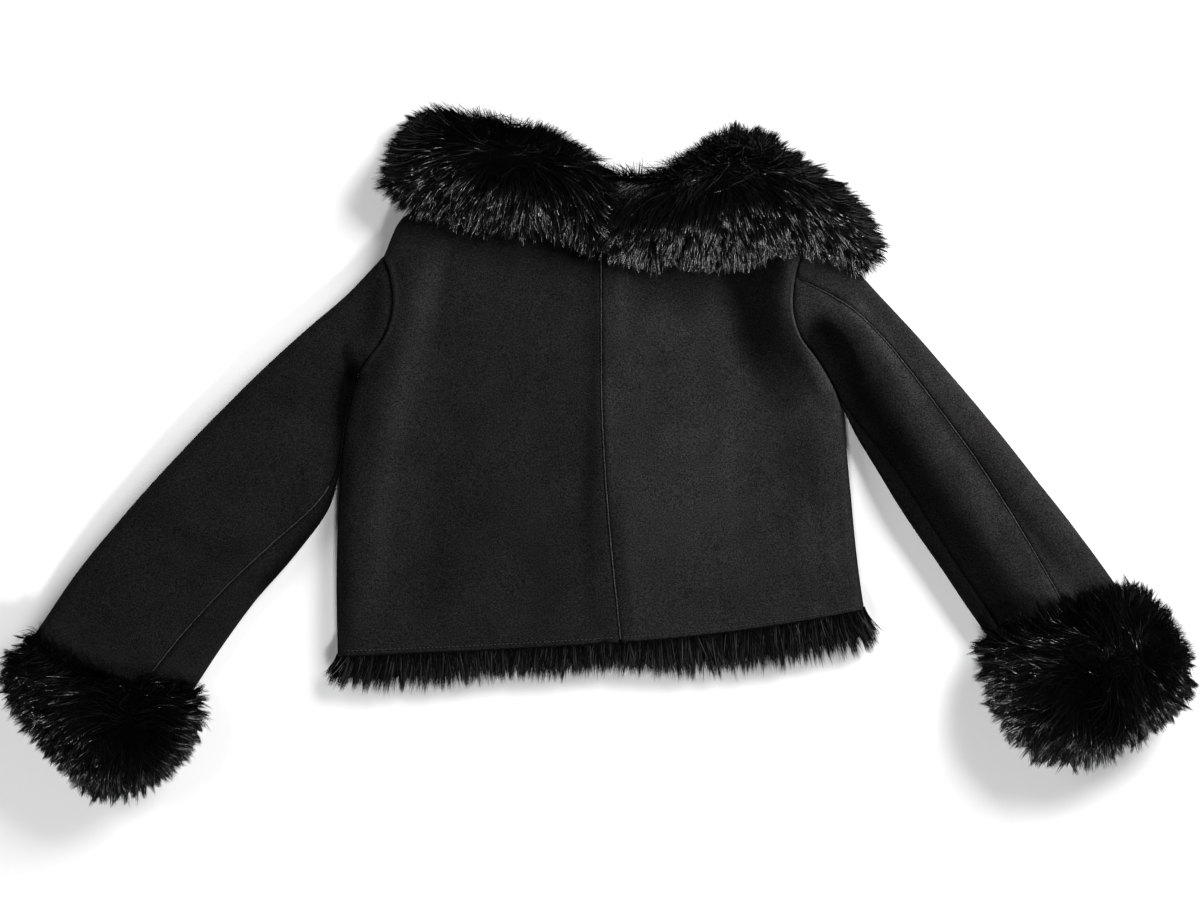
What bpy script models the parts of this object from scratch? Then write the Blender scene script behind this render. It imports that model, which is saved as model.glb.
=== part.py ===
"""A cropped black shearling coat with a fur collar, fur cuffs and wool showing at the hem.

It lies flat on its front: backs and sleeve tops above, fronts and sleeve undersides below, and the collar
turned down over the backs. Each cut piece is a wall of skin with its pressed wool. Lengths are millimetres
in the frame of the coat as it lies: +X across, +Y towards the collar, +Z up from the surface it rests on.
"""

import math
from collections import namedtuple

import bmesh
import bpy
import numpy as np

MM = 0.001
SEAM_GAP = 0.3  # between two sewn pieces
NAP_GAP = 2.4  # between the two layers of wool, where they lie on each other
EDGE_RADIUS = 12.0  # how far in from a folded edge the cloth turns over, seen from above
EDGE_WALL = 9.0  # skin and wool at a folded edge
BODY_HEIGHT = 22.0  # both layers of the body
UNDERARM_EASE = 1.8  # how far the body's corner at an underarm stands back from the sleeve
UNDERARM_REACH = 14.0  # how far round the corner that goes
ARMHOLE_EASE = 0.18  # how far each side of an armhole seam stands back from it
EDGE_ANGLES = (0.0, math.pi / 6, math.pi / 3, math.pi / 2)  # of the points round a folded edge

# How finely each piece is cut: rows along it, columns across it.
BACK_ROWS, BACK_COLUMNS = 11, 9
FRONT_ROWS, FRONT_COLUMNS = 6, 5
SLEEVE_ROWS = 16
CUFF_ROWS, CUFF_COLUMNS = 12, 26
HEM_ROWS, HEM_COLUMNS = 4, 64
COLLAR_ROWS, COLLAR_COLUMNS = 22, 10
SEAT_STEPS, SEAT_HEAD_STEPS = 24, 8

BLACK_SUEDE = (0.014, 0.014, 0.015, 1.0)
BLACK_FUR = (0.008, 0.008, 0.009, 1.0)

# The body, a row for each level from the hem to the underarms: left edge, centre back seam, right edge, and
# how far each half of the row sags below a straight line.
BodyRow = namedtuple("BodyRow", "left_x left_y seam_x seam_y right_x right_y left_sag right_sag")
BODY = [
    BodyRow(-249.4, -199.0, 20.4, -185.7, 252.2, -154.4, 1.0, 4.0),
    BodyRow(-250.3, -150.0, 15.5, -138.0, 247.5, -122.0, 1.0, 3.0),
    BodyRow(-250.3, -106.9, 11.0, -94.0, 243.5, -88.0, 0.0, 2.0),
    BodyRow(-248.4, -49.9, 6.5, -40.0, 239.5, -45.0, 0.0, 0.0),
    BodyRow(-243.7, 7.1, 3.3, 12.0, 236.0, -8.0, 0.0, 0.0),
    BodyRow(-237.0, 45.1, 2.2, 38.0, 234.4, 14.0, 0.0, 0.0),
    BodyRow(-230.4, 71.7, 1.8, 60.0, 233.2, 33.7, 0.0, 0.0),
]
BACK_NECK = (1.4, 238.0)  # where the centre back seam ends
FRONT_NECK = (1.4, 172.0)

# The armhole seam, from the shoulder point down to the underarm: x, y.
LEFT_ARMHOLE = [(-205.7, 181.9), (-199.0, 163.9), (-196.2, 140.1), (-199.5, 119.0), (-207.5, 101.0),
                (-218.5, 87.0), (-230.4, 71.7)]
RIGHT_ARMHOLE = [(201.9, 200.9), (188.0, 170.0), (183.8, 134.0), (191.0, 106.0), (206.6, 84.0),
                 (220.5, 61.0), (233.2, 33.7)]

# The shoulder line from the shoulder point to the neck point, less the neckline's own end: x, y.
LEFT_SHOULDER = [(-205.7, 181.9), (-185.0, 221.0), (-135.0, 240.0), (-80.3, 248.0)]
RIGHT_SHOULDER = [(201.9, 200.9), (181.0, 218.0), (136.0, 236.0), (86.0, 248.4)]
BACK_NECK_HALF = 40.0  # sideways from the neck's centre to the curve's own middle point
FRONT_NECK_RISE = 32.0  # of that point above the centre, in front

# A sleeve, a row for each section from the armhole to the cuff: outer edge, inner edge, how far the middle
# bows towards the cuff, the height of both layers, and where the two seams cross it. A seam's place counts
# round the section, 0 to 1 from the outer edge over the top to the inner edge, and 1 to 2 back underneath.
SleeveRow = namedtuple("SleeveRow", "outer_x outer_y inner_x inner_y bow height seam_a seam_b")
LEFT_SLEEVE = [
    SleeveRow(-205.7, 181.9, -230.4, 71.7, 0.0, 22.0, 0.95, 1.16),
    SleeveRow(-239.9, 145.8, -240.0, 37.5, 2.0, 22.0, 0.95, 1.17),
    SleeveRow(-276.9, 114.0, -245.6, 3.3, 3.0, 24.0, 0.94, 1.18),
    SleeveRow(-313.0, 81.2, -249.0, -31.8, 4.0, 26.0, 0.91, 1.19),
    SleeveRow(-348.2, 47.0, -260.5, -64.1, 5.0, 27.0, 0.87, 1.20),
    SleeveRow(-400.0, -6.2, -292.1, -105.9, 6.0, 27.0, 0.81, 1.20),
    SleeveRow(-449.8, -61.3, -326.7, -145.8, 8.0, 26.0, 0.77, 1.20),
    SleeveRow(-496.6, -118.3, -358.1, -188.1, 10.0, 25.0, 0.73, 1.20),
    SleeveRow(-538.2, -179.1, -387.1, -232.3, 13.0, 24.0, 0.69, 1.20),
]
RIGHT_SLEEVE = [
    SleeveRow(201.9, 200.9, 233.2, 33.7, 0.0, 22.0, 0.23, 0.90),
    SleeveRow(238.0, 174.3, 244.2, 10.9, 2.0, 22.0, 0.24, 0.88),
    SleeveRow(268.9, 142.0, 257.3, -10.9, 3.0, 25.0, 0.26, 0.86),
    SleeveRow(299.3, 109.3, 270.3, -32.5, 4.0, 29.0, 0.28, 0.84),
    SleeveRow(328.5, 75.5, 283.4, -54.3, 4.0, 31.0, 0.29, 0.83),
    SleeveRow(371.9, 24.2, 304.5, -86.0, 4.0, 32.0, 0.31, 0.84),
    SleeveRow(413.5, -28.3, 326.3, -117.3, 3.0, 32.0, 0.34, 0.85),
    SleeveRow(454.9, -81.0, 347.2, -148.7, 2.0, 31.0, 0.38, 0.85),
    SleeveRow(494.5, -135.4, 369.1, -180.0, 1.0, 30.0, 0.42, 0.86),
]
SLEEVE_CROWN = 0.16  # share of the rise that a sleeve loses from its middle to its sides
SLEEVE_ROW_SPREAD = 1.2  # over 1, so that rows lie closest at the armhole
SLEEVE_HEAD = 0.3  # share of the sleeve over which the armhole's curve straightens out
BEND_POWER = 2.0  # how fast it does so at the shoulder
BEND_POWER_GAIN = 8.0  # and how much faster by the underarm
MEAN_SLEEVE_WIDTH = 140.0
# Points round a sleeve's section: how many between each two of its edges and seams, starting from the outer
# edge, or from seam a on the right; and the first and last points of the two pieces.
LEFT_SLEEVE_COUNTS = (2, 7, 2, 2, 1, 3, 2)
RIGHT_SLEEVE_COUNTS = (5, 8, 2, 2, 3, 2)
LEFT_UPPER, LEFT_UNDER = (14, 28), (9, 14)
RIGHT_UPPER, RIGHT_UNDER = (13, 27), (5, 13)

# A fur cuff, a row for each section from the sleeve to the mouth: the same columns, with the height of the
# fur above the surface, and how far its underside has turned up.
CuffRow = namedtuple("CuffRow", "outer_x outer_y inner_x inner_y bow height lift")
LEFT_CUFF = [
    CuffRow(-541.4, -178.5, -384.5, -233.8, 13.0, 29.0, 1.0),
    CuffRow(-560.0, -193.0, -375.5, -244.0, 14.0, 44.0, 0.0),
    CuffRow(-565.5, -214.0, -375.0, -262.0, 16.0, 53.0, 0.0),
    CuffRow(-558.0, -240.0, -384.5, -283.0, 20.0, 55.0, 0.0),
    CuffRow(-541.0, -266.0, -397.0, -301.0, 24.0, 50.0, 0.0),
    CuffRow(-518.0, -288.0, -417.0, -314.0, 22.0, 39.0, 1.0),
    CuffRow(-498.0, -304.0, -434.0, -322.0, 9.0, 26.0, 4.0),
]
RIGHT_CUFF = [
    CuffRow(497.9, -134.7, 366.3, -181.5, 1.0, 35.0, 1.0),
    CuffRow(531.0, -147.0, 357.5, -195.0, 4.0, 52.0, 0.0),
    CuffRow(551.0, -174.0, 361.0, -218.0, 8.0, 60.0, 0.0),
    CuffRow(561.5, -205.0, 370.0, -243.0, 10.0, 62.0, 0.0),
    CuffRow(558.0, -236.0, 382.0, -265.0, 16.0, 56.0, 0.0),
    CuffRow(527.0, -262.0, 402.0, -287.0, 14.0, 44.0, 1.0),
    CuffRow(494.0, -280.0, 424.0, -296.0, 6.0, 28.0, 4.0),
]
CUFF_RADIUS = 22.0
CUFF_WALL = 17.0
CUFF_FULLNESS = 0.8  # below 1, so that the fur fills out quickly from its edges

# The collar, a row for each section from the centre back to its end: the edge that lies on the back, the
# edge beyond the neckline, and the height of the fur between them.
CollarRow = namedtuple("CollarRow", "low_x low_y high_x high_y crown")
LEFT_COLLAR = [
    CollarRow(5.0, 180.0, 7.0, 268.0, 43.0),
    CollarRow(-14.0, 187.0, -9.0, 278.0, 47.0),
    CollarRow(-37.5, 199.0, -30.0, 293.0, 52.0),
    CollarRow(-66.0, 204.0, -56.5, 307.0, 56.0),
    CollarRow(-94.5, 203.0, -87.0, 311.0, 58.0),
    CollarRow(-123.0, 209.0, -115.5, 318.0, 58.0),
    CollarRow(-151.5, 217.0, -146.0, 323.0, 55.0),
    CollarRow(-173.0, 223.0, -171.0, 317.0, 49.0),
    CollarRow(-190.0, 228.0, -189.0, 291.0, 41.0),
    CollarRow(-197.5, 240.0, -199.0, 262.0, 30.0),
]
RIGHT_COLLAR = [
    CollarRow(5.4, 180.0, 7.4, 268.0, 43.0),
    CollarRow(38.5, 173.0, 43.0, 266.0, 47.0),
    CollarRow(76.5, 174.0, 78.0, 276.0, 52.0),
    CollarRow(110.0, 171.0, 101.0, 295.0, 57.0),
    CollarRow(143.0, 176.0, 132.0, 305.0, 58.0),
    CollarRow(176.0, 187.0, 167.0, 293.0, 56.0),
    CollarRow(205.0, 183.0, 198.0, 270.0, 52.0),
    CollarRow(228.5, 175.0, 227.0, 252.0, 47.0),
    CollarRow(249.0, 166.0, 247.0, 228.0, 40.0),
    CollarRow(260.5, 169.0, 260.5, 196.0, 30.0),
]
COLLAR_EDGE_ON_BACK = 26.0
COLLAR_EDGE_ON_SURFACE = 9.0
COLLAR_CLEARANCE = 0.6  # between the collar and the coat under it
COLLAR_FULLNESS = 0.65
COLLAR_TAPER = 4.0  # its locks reach their full length this soon from the centre back
SEAT_LOW_Y = 60.0  # how far down the back the cutter under the collar reaches
SEAT_BELOW = 5.0  # and how far below the surface

# The wool below the hem, a row for each place from the left side to the right: how far it reaches, and how
# far its ends lean towards +X.
HemRow = namedtuple("HemRow", "reach lean")
HEM_WOOL = [HemRow(29.0, -4.0), HemRow(35.0, 0.0), HemRow(30.0, 2.0), HemRow(31.0, -2.0), HemRow(30.0, 0.0),
            HemRow(38.0, 2.0), HemRow(41.0, 3.0), HemRow(40.0, 6.0), HemRow(38.0, 12.0)]
HEM_SWELL = 2.5
HEM_TIP_HEIGHT = 15.0
HEM_EDGE = 1.5  # thickness of the wool at the two ends of the hem
LOCK_REACH = 4.5  # how far a long lock passes a short one, half each way
LOCK_RIDGE = 1.6

# Large folds, a row for each: its start, middle and end, its half width, and its height, less than 0 for a
# trough.
Fold = namedtuple("Fold", "x0 y0 x1 y1 x2 y2 width height")
FOLDS = [
    Fold(-172.0, 165.0, -199.0, -10.0, -220.0, -170.0, 25.0, 4.5),
    Fold(-150.0, 130.0, -160.0, 0.0, -170.0, -150.0, 20.0, -2.0),
    Fold(-6.0, -40.0, -3.0, -100.0, 2.0, -175.0, 16.0, -2.2),
    Fold(166.0, 145.0, 176.0, 95.0, 190.0, 45.0, 22.0, -4.5),
    Fold(206.0, 20.0, 212.0, -50.0, 220.0, -130.0, 18.0, 2.5),
    Fold(183.0, -60.0, 190.0, -100.0, 200.0, -155.0, 11.0, 1.6),
    Fold(226.0, 92.0, 275.0, 0.0, 400.0, -155.0, 20.0, -6.0),
    Fold(238.0, 137.0, 322.0, 14.0, 440.0, -145.0, 13.0, 4.5),
    Fold(461.0, -148.0, 463.0, -195.0, 474.0, -240.0, 15.0, -13.0),
    Fold(-244.0, 92.0, -240.0, 80.0, -238.0, 68.0, 5.0, -5.0),
    Fold(-300.0, 70.0, -400.0, -50.0, -475.0, -165.0, 28.0, 2.5),
    Fold(-266.0, 70.0, -272.0, 10.0, -300.0, -60.0, 15.0, -2.5),
]


def smooth(table, place):
    """A table's row at a place from 0, its first row, to 1, its last, on a smooth curve through the rows."""
    rows = np.asarray(table, float)
    spot = min(max(place, 0.0), 1.0) * (len(rows) - 1)
    index = min(int(spot), len(rows) - 2)
    t = spot - index
    a, b = rows[index], rows[index + 1]
    before = rows[index - 1] if index else 2 * a - b
    after = rows[index + 2] if index + 2 < len(rows) else 2 * b - a
    return a + t * ((b - before) + t * (2 * before - 5 * a + 4 * b - after
                                        + t * (3 * a - before - 3 * b + after))) / 2


def distance_to(point, start, end):
    """How far a point is from a straight line between two others."""
    start = np.array(start)
    along = np.array(end) - start
    share = float(np.dot(point - start, along) / np.dot(along, along))
    return math.dist(point, start + along * min(max(share, 0.0), 1.0))


def fold_relief(x, y):
    """How far the largest folds raise or lower the upper layer at a place."""
    total = 0.0
    for fold in FOLDS:
        away = min(distance_to((x, y), (fold.x0, fold.y0), (fold.x1, fold.y1)),
                   distance_to((x, y), (fold.x1, fold.y1), (fold.x2, fold.y2)))
        total += fold.height * math.exp(-((away / fold.width) ** 2))
    return total


def half_section(width, radius, inset, place):
    """A place from 0 to 1 over a flattened tube, as (share of its width, share of its full rise)."""
    quarter = radius * math.pi / 2
    length = 2 * quarter + width - 2 * radius
    run = place * length
    near_end = min(run, length - run)
    if near_end < quarter:
        across = radius - (radius - inset) * math.cos(near_end / radius)
        rise = math.sin(near_end / radius)
    else:
        across = radius + near_end - quarter
        rise = 1.0
    share = across / width
    return (share if run <= length / 2 else 1 - share), rise


def spread(breaks, counts):
    """Values from the first break to the last, each stretch between two breaks cut into its count."""
    values = [breaks[0]]
    for start, end, count in zip(breaks, breaks[1:], counts):
        values += [start + (end - start) * (k + 1) / count for k in range(count)]
    return values


def quarter_share(width, radius):
    """The share of half a flattened tube's section that one rounded edge takes."""
    quarter = radius * math.pi / 2
    return quarter / (2 * quarter + width - 2 * radius)


# --- meshes ---


def wall_faces(rows, columns, ring):
    """The faces between the outer and the inner points of a wall, as indices into their joined list."""
    inner = rows * columns
    faces = []
    last = columns if ring else columns - 1
    for i in range(rows - 1):
        for j in range(last):
            a, b = i * columns + j, i * columns + (j + 1) % columns
            c, d = b + columns, a + columns
            faces += [(a, b, c, d), (inner + d, inner + c, inner + b, inner + a)]
    for j in range(last):
        a, b = j, (j + 1) % columns
        c, d = (rows - 1) * columns + j, (rows - 1) * columns + (j + 1) % columns
        faces += [(inner + a, inner + b, b, a), (c, d, inner + d, inner + c)]
    if not ring:
        for i in range(rows - 1):
            a, b = i * columns, (i + 1) * columns
            c, d = a + columns - 1, b + columns - 1
            faces += [(a, b, inner + b, inner + a), (inner + d, d, c, inner + c)]
    return faces


def add_solid(name, points, faces, material, collection):
    """Makes a closed mesh object from points in millimetres, with its faces turned out."""
    mesh = bpy.data.meshes.new(name)
    shape = bmesh.new()
    verts = [shape.verts.new(tuple(c * MM for c in point)) for point in points]
    for face in faces:
        shape.faces.new([verts[k] for k in face])
    bmesh.ops.recalc_face_normals(shape, faces=shape.faces)
    if shape.calc_volume(signed=True) < 0:
        bmesh.ops.reverse_faces(shape, faces=shape.faces)
    shape.to_mesh(mesh)
    shape.free()
    mesh.shade_smooth()
    mesh.materials.append(material)
    obj = bpy.data.objects.new(name, mesh)
    collection.objects.link(obj)
    return obj


def add_wall(name, outer, inner, material, collection, ring=False):
    """Makes a wall from rows of outer points and the inner points behind them."""
    rows, columns = len(outer), len(outer[0])
    points = [p for row in outer for p in row] + [p for row in inner for p in row]
    return add_solid(name, points, wall_faces(rows, columns, ring), material, collection)


# --- body ---


class Half:
    """One half of the body: which edge it has, and its armhole and shoulder lines."""

    def __init__(self, is_left):
        self.is_left = is_left
        self.out = -1.0 if is_left else 1.0
        self.armhole = LEFT_ARMHOLE if is_left else RIGHT_ARMHOLE
        self.shoulder = LEFT_SHOULDER if is_left else RIGHT_SHOULDER
        self.sleeve = LEFT_SLEEVE if is_left else RIGHT_SLEEVE

    def below_arm(self, across, up):
        """A plan point between the side edge and the centre seam, from the hem to the underarm."""
        row = BodyRow(*smooth(BODY, up))
        side = (row.left_x, row.left_y) if self.is_left else (row.right_x, row.right_y)
        sag = row.left_sag if self.is_left else row.right_sag
        x = side[0] + (row.seam_x - side[0]) * across
        y = side[1] + (row.seam_y - side[1]) * across - 4 * sag * across * (1 - across)
        return np.array([x, y])

    def top_line(self, is_back):
        """The shoulder line and half of the neckline."""
        neck_x, neck_y = BACK_NECK if is_back else FRONT_NECK
        middle = neck_y + (2.0 if is_back else FRONT_NECK_RISE)
        return self.shoulder + [(neck_x + self.out * BACK_NECK_HALF, middle), (neck_x, neck_y)]

    def beside_arm(self, across, up, is_back):
        """A plan point above the underarm, blended from the four lines round this part of the panel."""
        underarm = np.array(self.armhole[-1])
        seam_low = self.below_arm(1.0, 1.0)
        top = self.top_line(is_back)
        seam_high = np.array(top[-1])
        side = smooth(self.armhole, 1 - up)
        seam = seam_low + (seam_high - seam_low) * up
        low = underarm + (seam_low - underarm) * across
        high = smooth(top, across)
        corners = ((1 - across) * (1 - up) * underarm + across * (1 - up) * seam_low
                   + (1 - across) * up * np.array(top[0]) + across * up * seam_high)
        return (1 - across) * side + across * seam + (1 - up) * low + up * high - corners

    def armhole_length(self):
        return math.dist(self.armhole[0], self.armhole[-1])


def armhole_stations(half, upper):
    """Where the sleeve's first section meets one layer of the body, from the underarm to the shoulder.

    Each is the outer and the inner place up the armhole, and the share of the full height there.
    """
    places = sleeve_columns(half, 0.0)
    places = [p for p in places if p <= 1] if upper else [2 - p for p in places if p >= 1]
    width = half.armhole_length()
    found = []
    for place in sorted(set(places), reverse=True):
        out_share, rise = half_section(width, EDGE_RADIUS, 0.0, place)
        in_share, _ = half_section(width, EDGE_RADIUS, EDGE_WALL, place)
        found.append((1 - out_share, 1 - in_share, rise))
    return found


def body_rows(half, upper, below_count):
    """The rows of a body panel: (below the underarm?, outer place, inner place, side rise, top rise)."""
    rows = [(True, k / below_count, k / below_count, 0.0, 1.0) for k in range(below_count)]
    for out_place, in_place, rise in armhole_stations(half, upper):
        if out_place < 0.5:
            rows.append((False, out_place, out_place, rise, 1.0))
        else:
            rows.append((False, out_place, in_place, 1.0, rise))
    return rows


def body_panel(half, is_back, below_count, across_count, material, collection):
    """A back or a front: a wall from its side and armhole to the centre, and from the hem to the neck."""
    middle = BODY_HEIGHT / 2
    width = abs(BODY[0].left_x)
    start = EDGE_RADIUS / width
    outer, inner = [], []
    for below, out_place, in_place, side_rise, top_rise in body_rows(half, is_back, below_count):
        out_row, in_row = [], []
        inset = EDGE_WALL * (1 - side_rise)
        for k in range(len(EDGE_ANGLES) + across_count):
            angle = EDGE_ANGLES[min(k, len(EDGE_ANGLES) - 1)]
            flat = max(k - len(EDGE_ANGLES) + 1, 0) / across_count
            out_across = EDGE_RADIUS * (1 - math.cos(angle)) / width + flat * (1 - start)
            in_across = (EDGE_RADIUS - (EDGE_RADIUS - inset) * math.cos(angle)) / width + flat * (1 - start)
            rise = (side_rise + (1 - side_rise) * math.sin(angle)) * top_rise
            for across, place, row, is_outer in ((out_across, out_place, out_row, True),
                                                 (in_across, in_place, in_row, False)):
                across = min(across, 1.0)
                if below:
                    x, y = half.below_arm(across, place)
                else:
                    x, y = half.beside_arm(across, place, is_back)
                from_underarm = math.dist((x, y), half.armhole[-1])
                x -= half.out * UNDERARM_EASE * math.exp(-((from_underarm / UNDERARM_REACH) ** 2))
                x -= half.out * ARMHOLE_EASE * (1 - across)
                x += half.out * (SEAM_GAP / 2) * across
                row.append((x, y, layer_height(x, y, middle, BODY_HEIGHT, rise, is_back, is_outer)))
        outer.append(out_row)
        inner.append(in_row)
    name = ("back" if is_back else "front") + ("_left" if half.is_left else "_right")
    return add_wall(name, outer, inner, material, collection)


def layer_height(x, y, middle, height, rise, upper, is_outer):
    """The height of a point of a wall, in the upper or the lower layer, on its outer or its inner side."""
    part = SEAM_GAP / 2
    nap = NAP_GAP / 2 - part
    if not is_outer:
        return middle + (part + nap * rise if upper else -part - nap * rise)
    if upper:
        return middle + part + (height - middle - part + fold_relief(x, y)) * rise
    return (middle - part) * (1 - rise)


# --- sleeves ---


def sleeve_columns(half, along):
    """The places of a sleeve's points round one section, from its outer edge all the way round."""
    row = SleeveRow(*smooth(half.sleeve, along))
    width = math.dist((row.outer_x, row.outer_y), (row.inner_x, row.inner_y))
    edge = quarter_share(width, EDGE_RADIUS)
    if half.is_left:
        breaks = [0.0, edge, row.seam_a, 1.0, 1 + edge, row.seam_b, 2 - edge, 2.0]
        return spread(breaks, LEFT_SLEEVE_COUNTS)
    breaks = [0.0, row.seam_a, row.seam_b, 1.0, 1 + edge, 2 - edge, 2.0]
    return spread(breaks, RIGHT_SLEEVE_COUNTS)


def sleeve_point(half, along, place, is_outer):
    """A point of a sleeve's wall at a section and a place round it."""
    row = SleeveRow(*smooth(half.sleeve, along))
    start = np.array([row.outer_x, row.outer_y])
    end = np.array([row.inner_x, row.inner_y])
    width = math.dist(start, end)
    turn = place % 2
    upper = turn <= 1
    share, rise = half_section(width, EDGE_RADIUS, 0.0 if is_outer else EDGE_WALL, turn if upper else 2 - turn)
    point = start + (end - start) * share
    toward_cuff = np.array([half.out * abs(end[1] - start[1]), -abs(end[0] - start[0])]) / width
    point = point + toward_cuff * row.bow * 4 * share * (1 - share)
    head = max(1 - along / SLEEVE_HEAD, 0.0)
    straight = np.array(half.armhole[0]) + (np.array(half.armhole[-1]) - half.armhole[0]) * share
    bend = head ** (BEND_POWER + BEND_POWER_GAIN * share ** 4)
    point = point + bend * (smooth(half.armhole, share) - straight)
    point[0] += half.out * ARMHOLE_EASE
    crown = 1 - SLEEVE_CROWN * (1 - head**2) * (2 * share - 1) ** 2
    middle = row.height / 2
    height = middle + (row.height - middle) * crown
    nap = NAP_GAP / 2 * rise
    if not is_outer:
        z = middle + (nap if upper else -nap)
    elif upper:
        z = middle + (height - middle + fold_relief(*point)) * rise
    else:
        z = middle * (1 - rise)
    return point[0], point[1], z


def sleeve_piece(half, name, seams, material, collection):
    """One of a sleeve's two pieces: the wall between its seams, given as its first and last point."""
    outer, inner = [], []
    gap = SEAM_GAP / 2 / MEAN_SLEEVE_WIDTH
    for i in range(SLEEVE_ROWS + 1):
        along = (i / SLEEVE_ROWS) ** SLEEVE_ROW_SPREAD
        places = sleeve_columns(half, along)[:-1]
        places = places + [p + 2 for p in places]
        places = places[seams[0]:seams[1] + 1]
        places[0] += gap
        places[-1] -= gap
        outer.append([sleeve_point(half, along, p, True) for p in places])
        inner.append([sleeve_point(half, along, p, False) for p in places])
    return add_wall(name, outer, inner, material, collection)


# --- fur ---


def lock(k, seed):
    """How far lock number k passes its neighbours, from about -1 to 1, as uneven as hair."""
    own = (1 if k % 2 else -1) * (0.5 + 0.3 * math.sin(2.3 * k + seed))
    return own + 0.3 * math.sin(0.83 * k + 2 * seed)


def cuff(half, table, name, middle, material, collection):
    """A fur cuff: a flattened ring with a slit through it, in locks that run to its mouth."""
    outer, inner = [], []
    for i in range(CUFF_ROWS + 1):
        along = i / CUFF_ROWS
        row = CuffRow(*smooth(table, along))
        start, end = np.array([row.outer_x, row.outer_y]), np.array([row.inner_x, row.inner_y])
        width = math.dist(start, end)
        toward = np.array([half.out * abs(end[1] - start[1]), -abs(end[0] - start[0])]) / width
        out_row, in_row = [], []
        for j in range(CUFF_COLUMNS):
            place = 2 * j / CUFF_COLUMNS
            upper = place <= 1
            for is_outer, found in ((True, out_row), (False, in_row)):
                inset = 0.0 if is_outer else CUFF_WALL
                share, rise = half_section(width, CUFF_RADIUS, inset, place if upper else 2 - place)
                point = start + (end - start) * share + toward * row.bow * 4 * share * (1 - share)
                locks = LOCK_REACH * lock(j, half.out) * along ** 2
                if is_outer:
                    point = point + toward * locks
                z = middle + (NAP_GAP / 2 * rise if upper else -NAP_GAP / 2 * rise)
                if is_outer and upper:
                    ridge = LOCK_RIDGE * lock(j + i // 3, 1.0) * math.sin(math.pi * along)
                    z = middle + (row.height - middle + ridge + fold_relief(*point)) * rise ** CUFF_FULLNESS
                elif is_outer:
                    z = max(row.lift, 0.0) * rise + middle * (1 - rise)
                found.append((point[0], point[1], z))
        outer.append(out_row)
        inner.append(in_row)
    return add_wall(name, outer, inner, material, collection, ring=True)


def hem_wool(name, is_back, material, collection):
    """The wool that hangs below the hem, from side to side, in locks of uneven length."""
    middle = BODY_HEIGHT / 2
    outer, inner = [], []
    halves = (Half(True), Half(False))
    for i in range(HEM_ROWS + 1):
        down = i / HEM_ROWS
        out_row, in_row = [], []
        for k in range(HEM_COLUMNS + 1):
            across = k / HEM_COLUMNS
            half = halves[0] if across < 0.5 else halves[1]
            from_side = 2 * across if across < 0.5 else 2 * (1 - across)
            root = half.below_arm(from_side, 0.0)
            row = HemRow(*smooth(HEM_WOOL, across))
            reach = row.reach + LOCK_REACH * lock(k, 0.0)
            x = root[0] + row.lean * down
            y = root[1] - SEAM_GAP - reach * down
            side = min(across, 1 - across) * HEM_COLUMNS / 2
            rise = math.sin(min(side, 1.0) * math.pi / 2)
            swell = HEM_SWELL * math.sin(math.pi * down)
            top = BODY_HEIGHT + (HEM_TIP_HEIGHT - BODY_HEIGHT) * down ** 2 + swell
            top += LOCK_RIDGE * lock(k, 0.0) * down * rise
            if is_back:
                low = middle + SEAM_GAP / 2
                out_row.append((x, y, low + HEM_EDGE + (top - low - HEM_EDGE) * rise))
                in_row.append((x, y, low))
            else:
                high = middle - SEAM_GAP / 2
                out_row.append((x, y, (high - HEM_EDGE) * (1 - rise)))
                in_row.append((x, y, high))
        outer.append(out_row)
        inner.append(in_row)
    return add_wall(name, outer, inner, material, collection)


def collar_half(half, table, name, material, collection, cutter):
    """Half of the collar: a lobe of fur lofted through its sections, then seated on the coat under it."""
    points, loop = [], COLLAR_COLUMNS + 3
    for i in range(COLLAR_ROWS + 1):
        along = i / COLLAR_ROWS
        row = CollarRow(*smooth(table, along))
        low, high = np.array([row.low_x, row.low_y]), np.array([row.high_x, row.high_y])
        outward = (high - low) / math.dist(low, high)
        locks = LOCK_REACH * lock(i, half.out) * min(COLLAR_TAPER * along, 1.0)
        for j in range(COLLAR_COLUMNS + 1):
            share = (1 - math.cos(math.pi * j / COLLAR_COLUMNS)) / 2
            point = low + (high - low) * share + outward * locks * (2 * share - 1)
            edge = COLLAR_EDGE_ON_BACK + (COLLAR_EDGE_ON_SURFACE - COLLAR_EDGE_ON_BACK) * share
            full = math.sin(math.pi * share) ** COLLAR_FULLNESS
            ridge = LOCK_RIDGE * lock(i, half.out) * full
            points.append((point[0], point[1], edge + (row.crown - edge) * full + ridge))
        for edge_point in (points[-1], points[-1 - COLLAR_COLUMNS]):
            points.append((edge_point[0], edge_point[1], 0.0))
    faces = [tuple(range(loop)), tuple(range(COLLAR_ROWS * loop, (COLLAR_ROWS + 1) * loop))]
    for i in range(COLLAR_ROWS):
        for j in range(loop):
            a, b = i * loop + j, i * loop + (j + 1) % loop
            faces.append((a, b, b + loop, a + loop))
    obj = add_solid(name, points, faces, material, collection)
    seat = obj.modifiers.new("seat on the coat", "BOOLEAN")
    seat.operation = "DIFFERENCE"
    seat.object = cutter
    return obj


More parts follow.
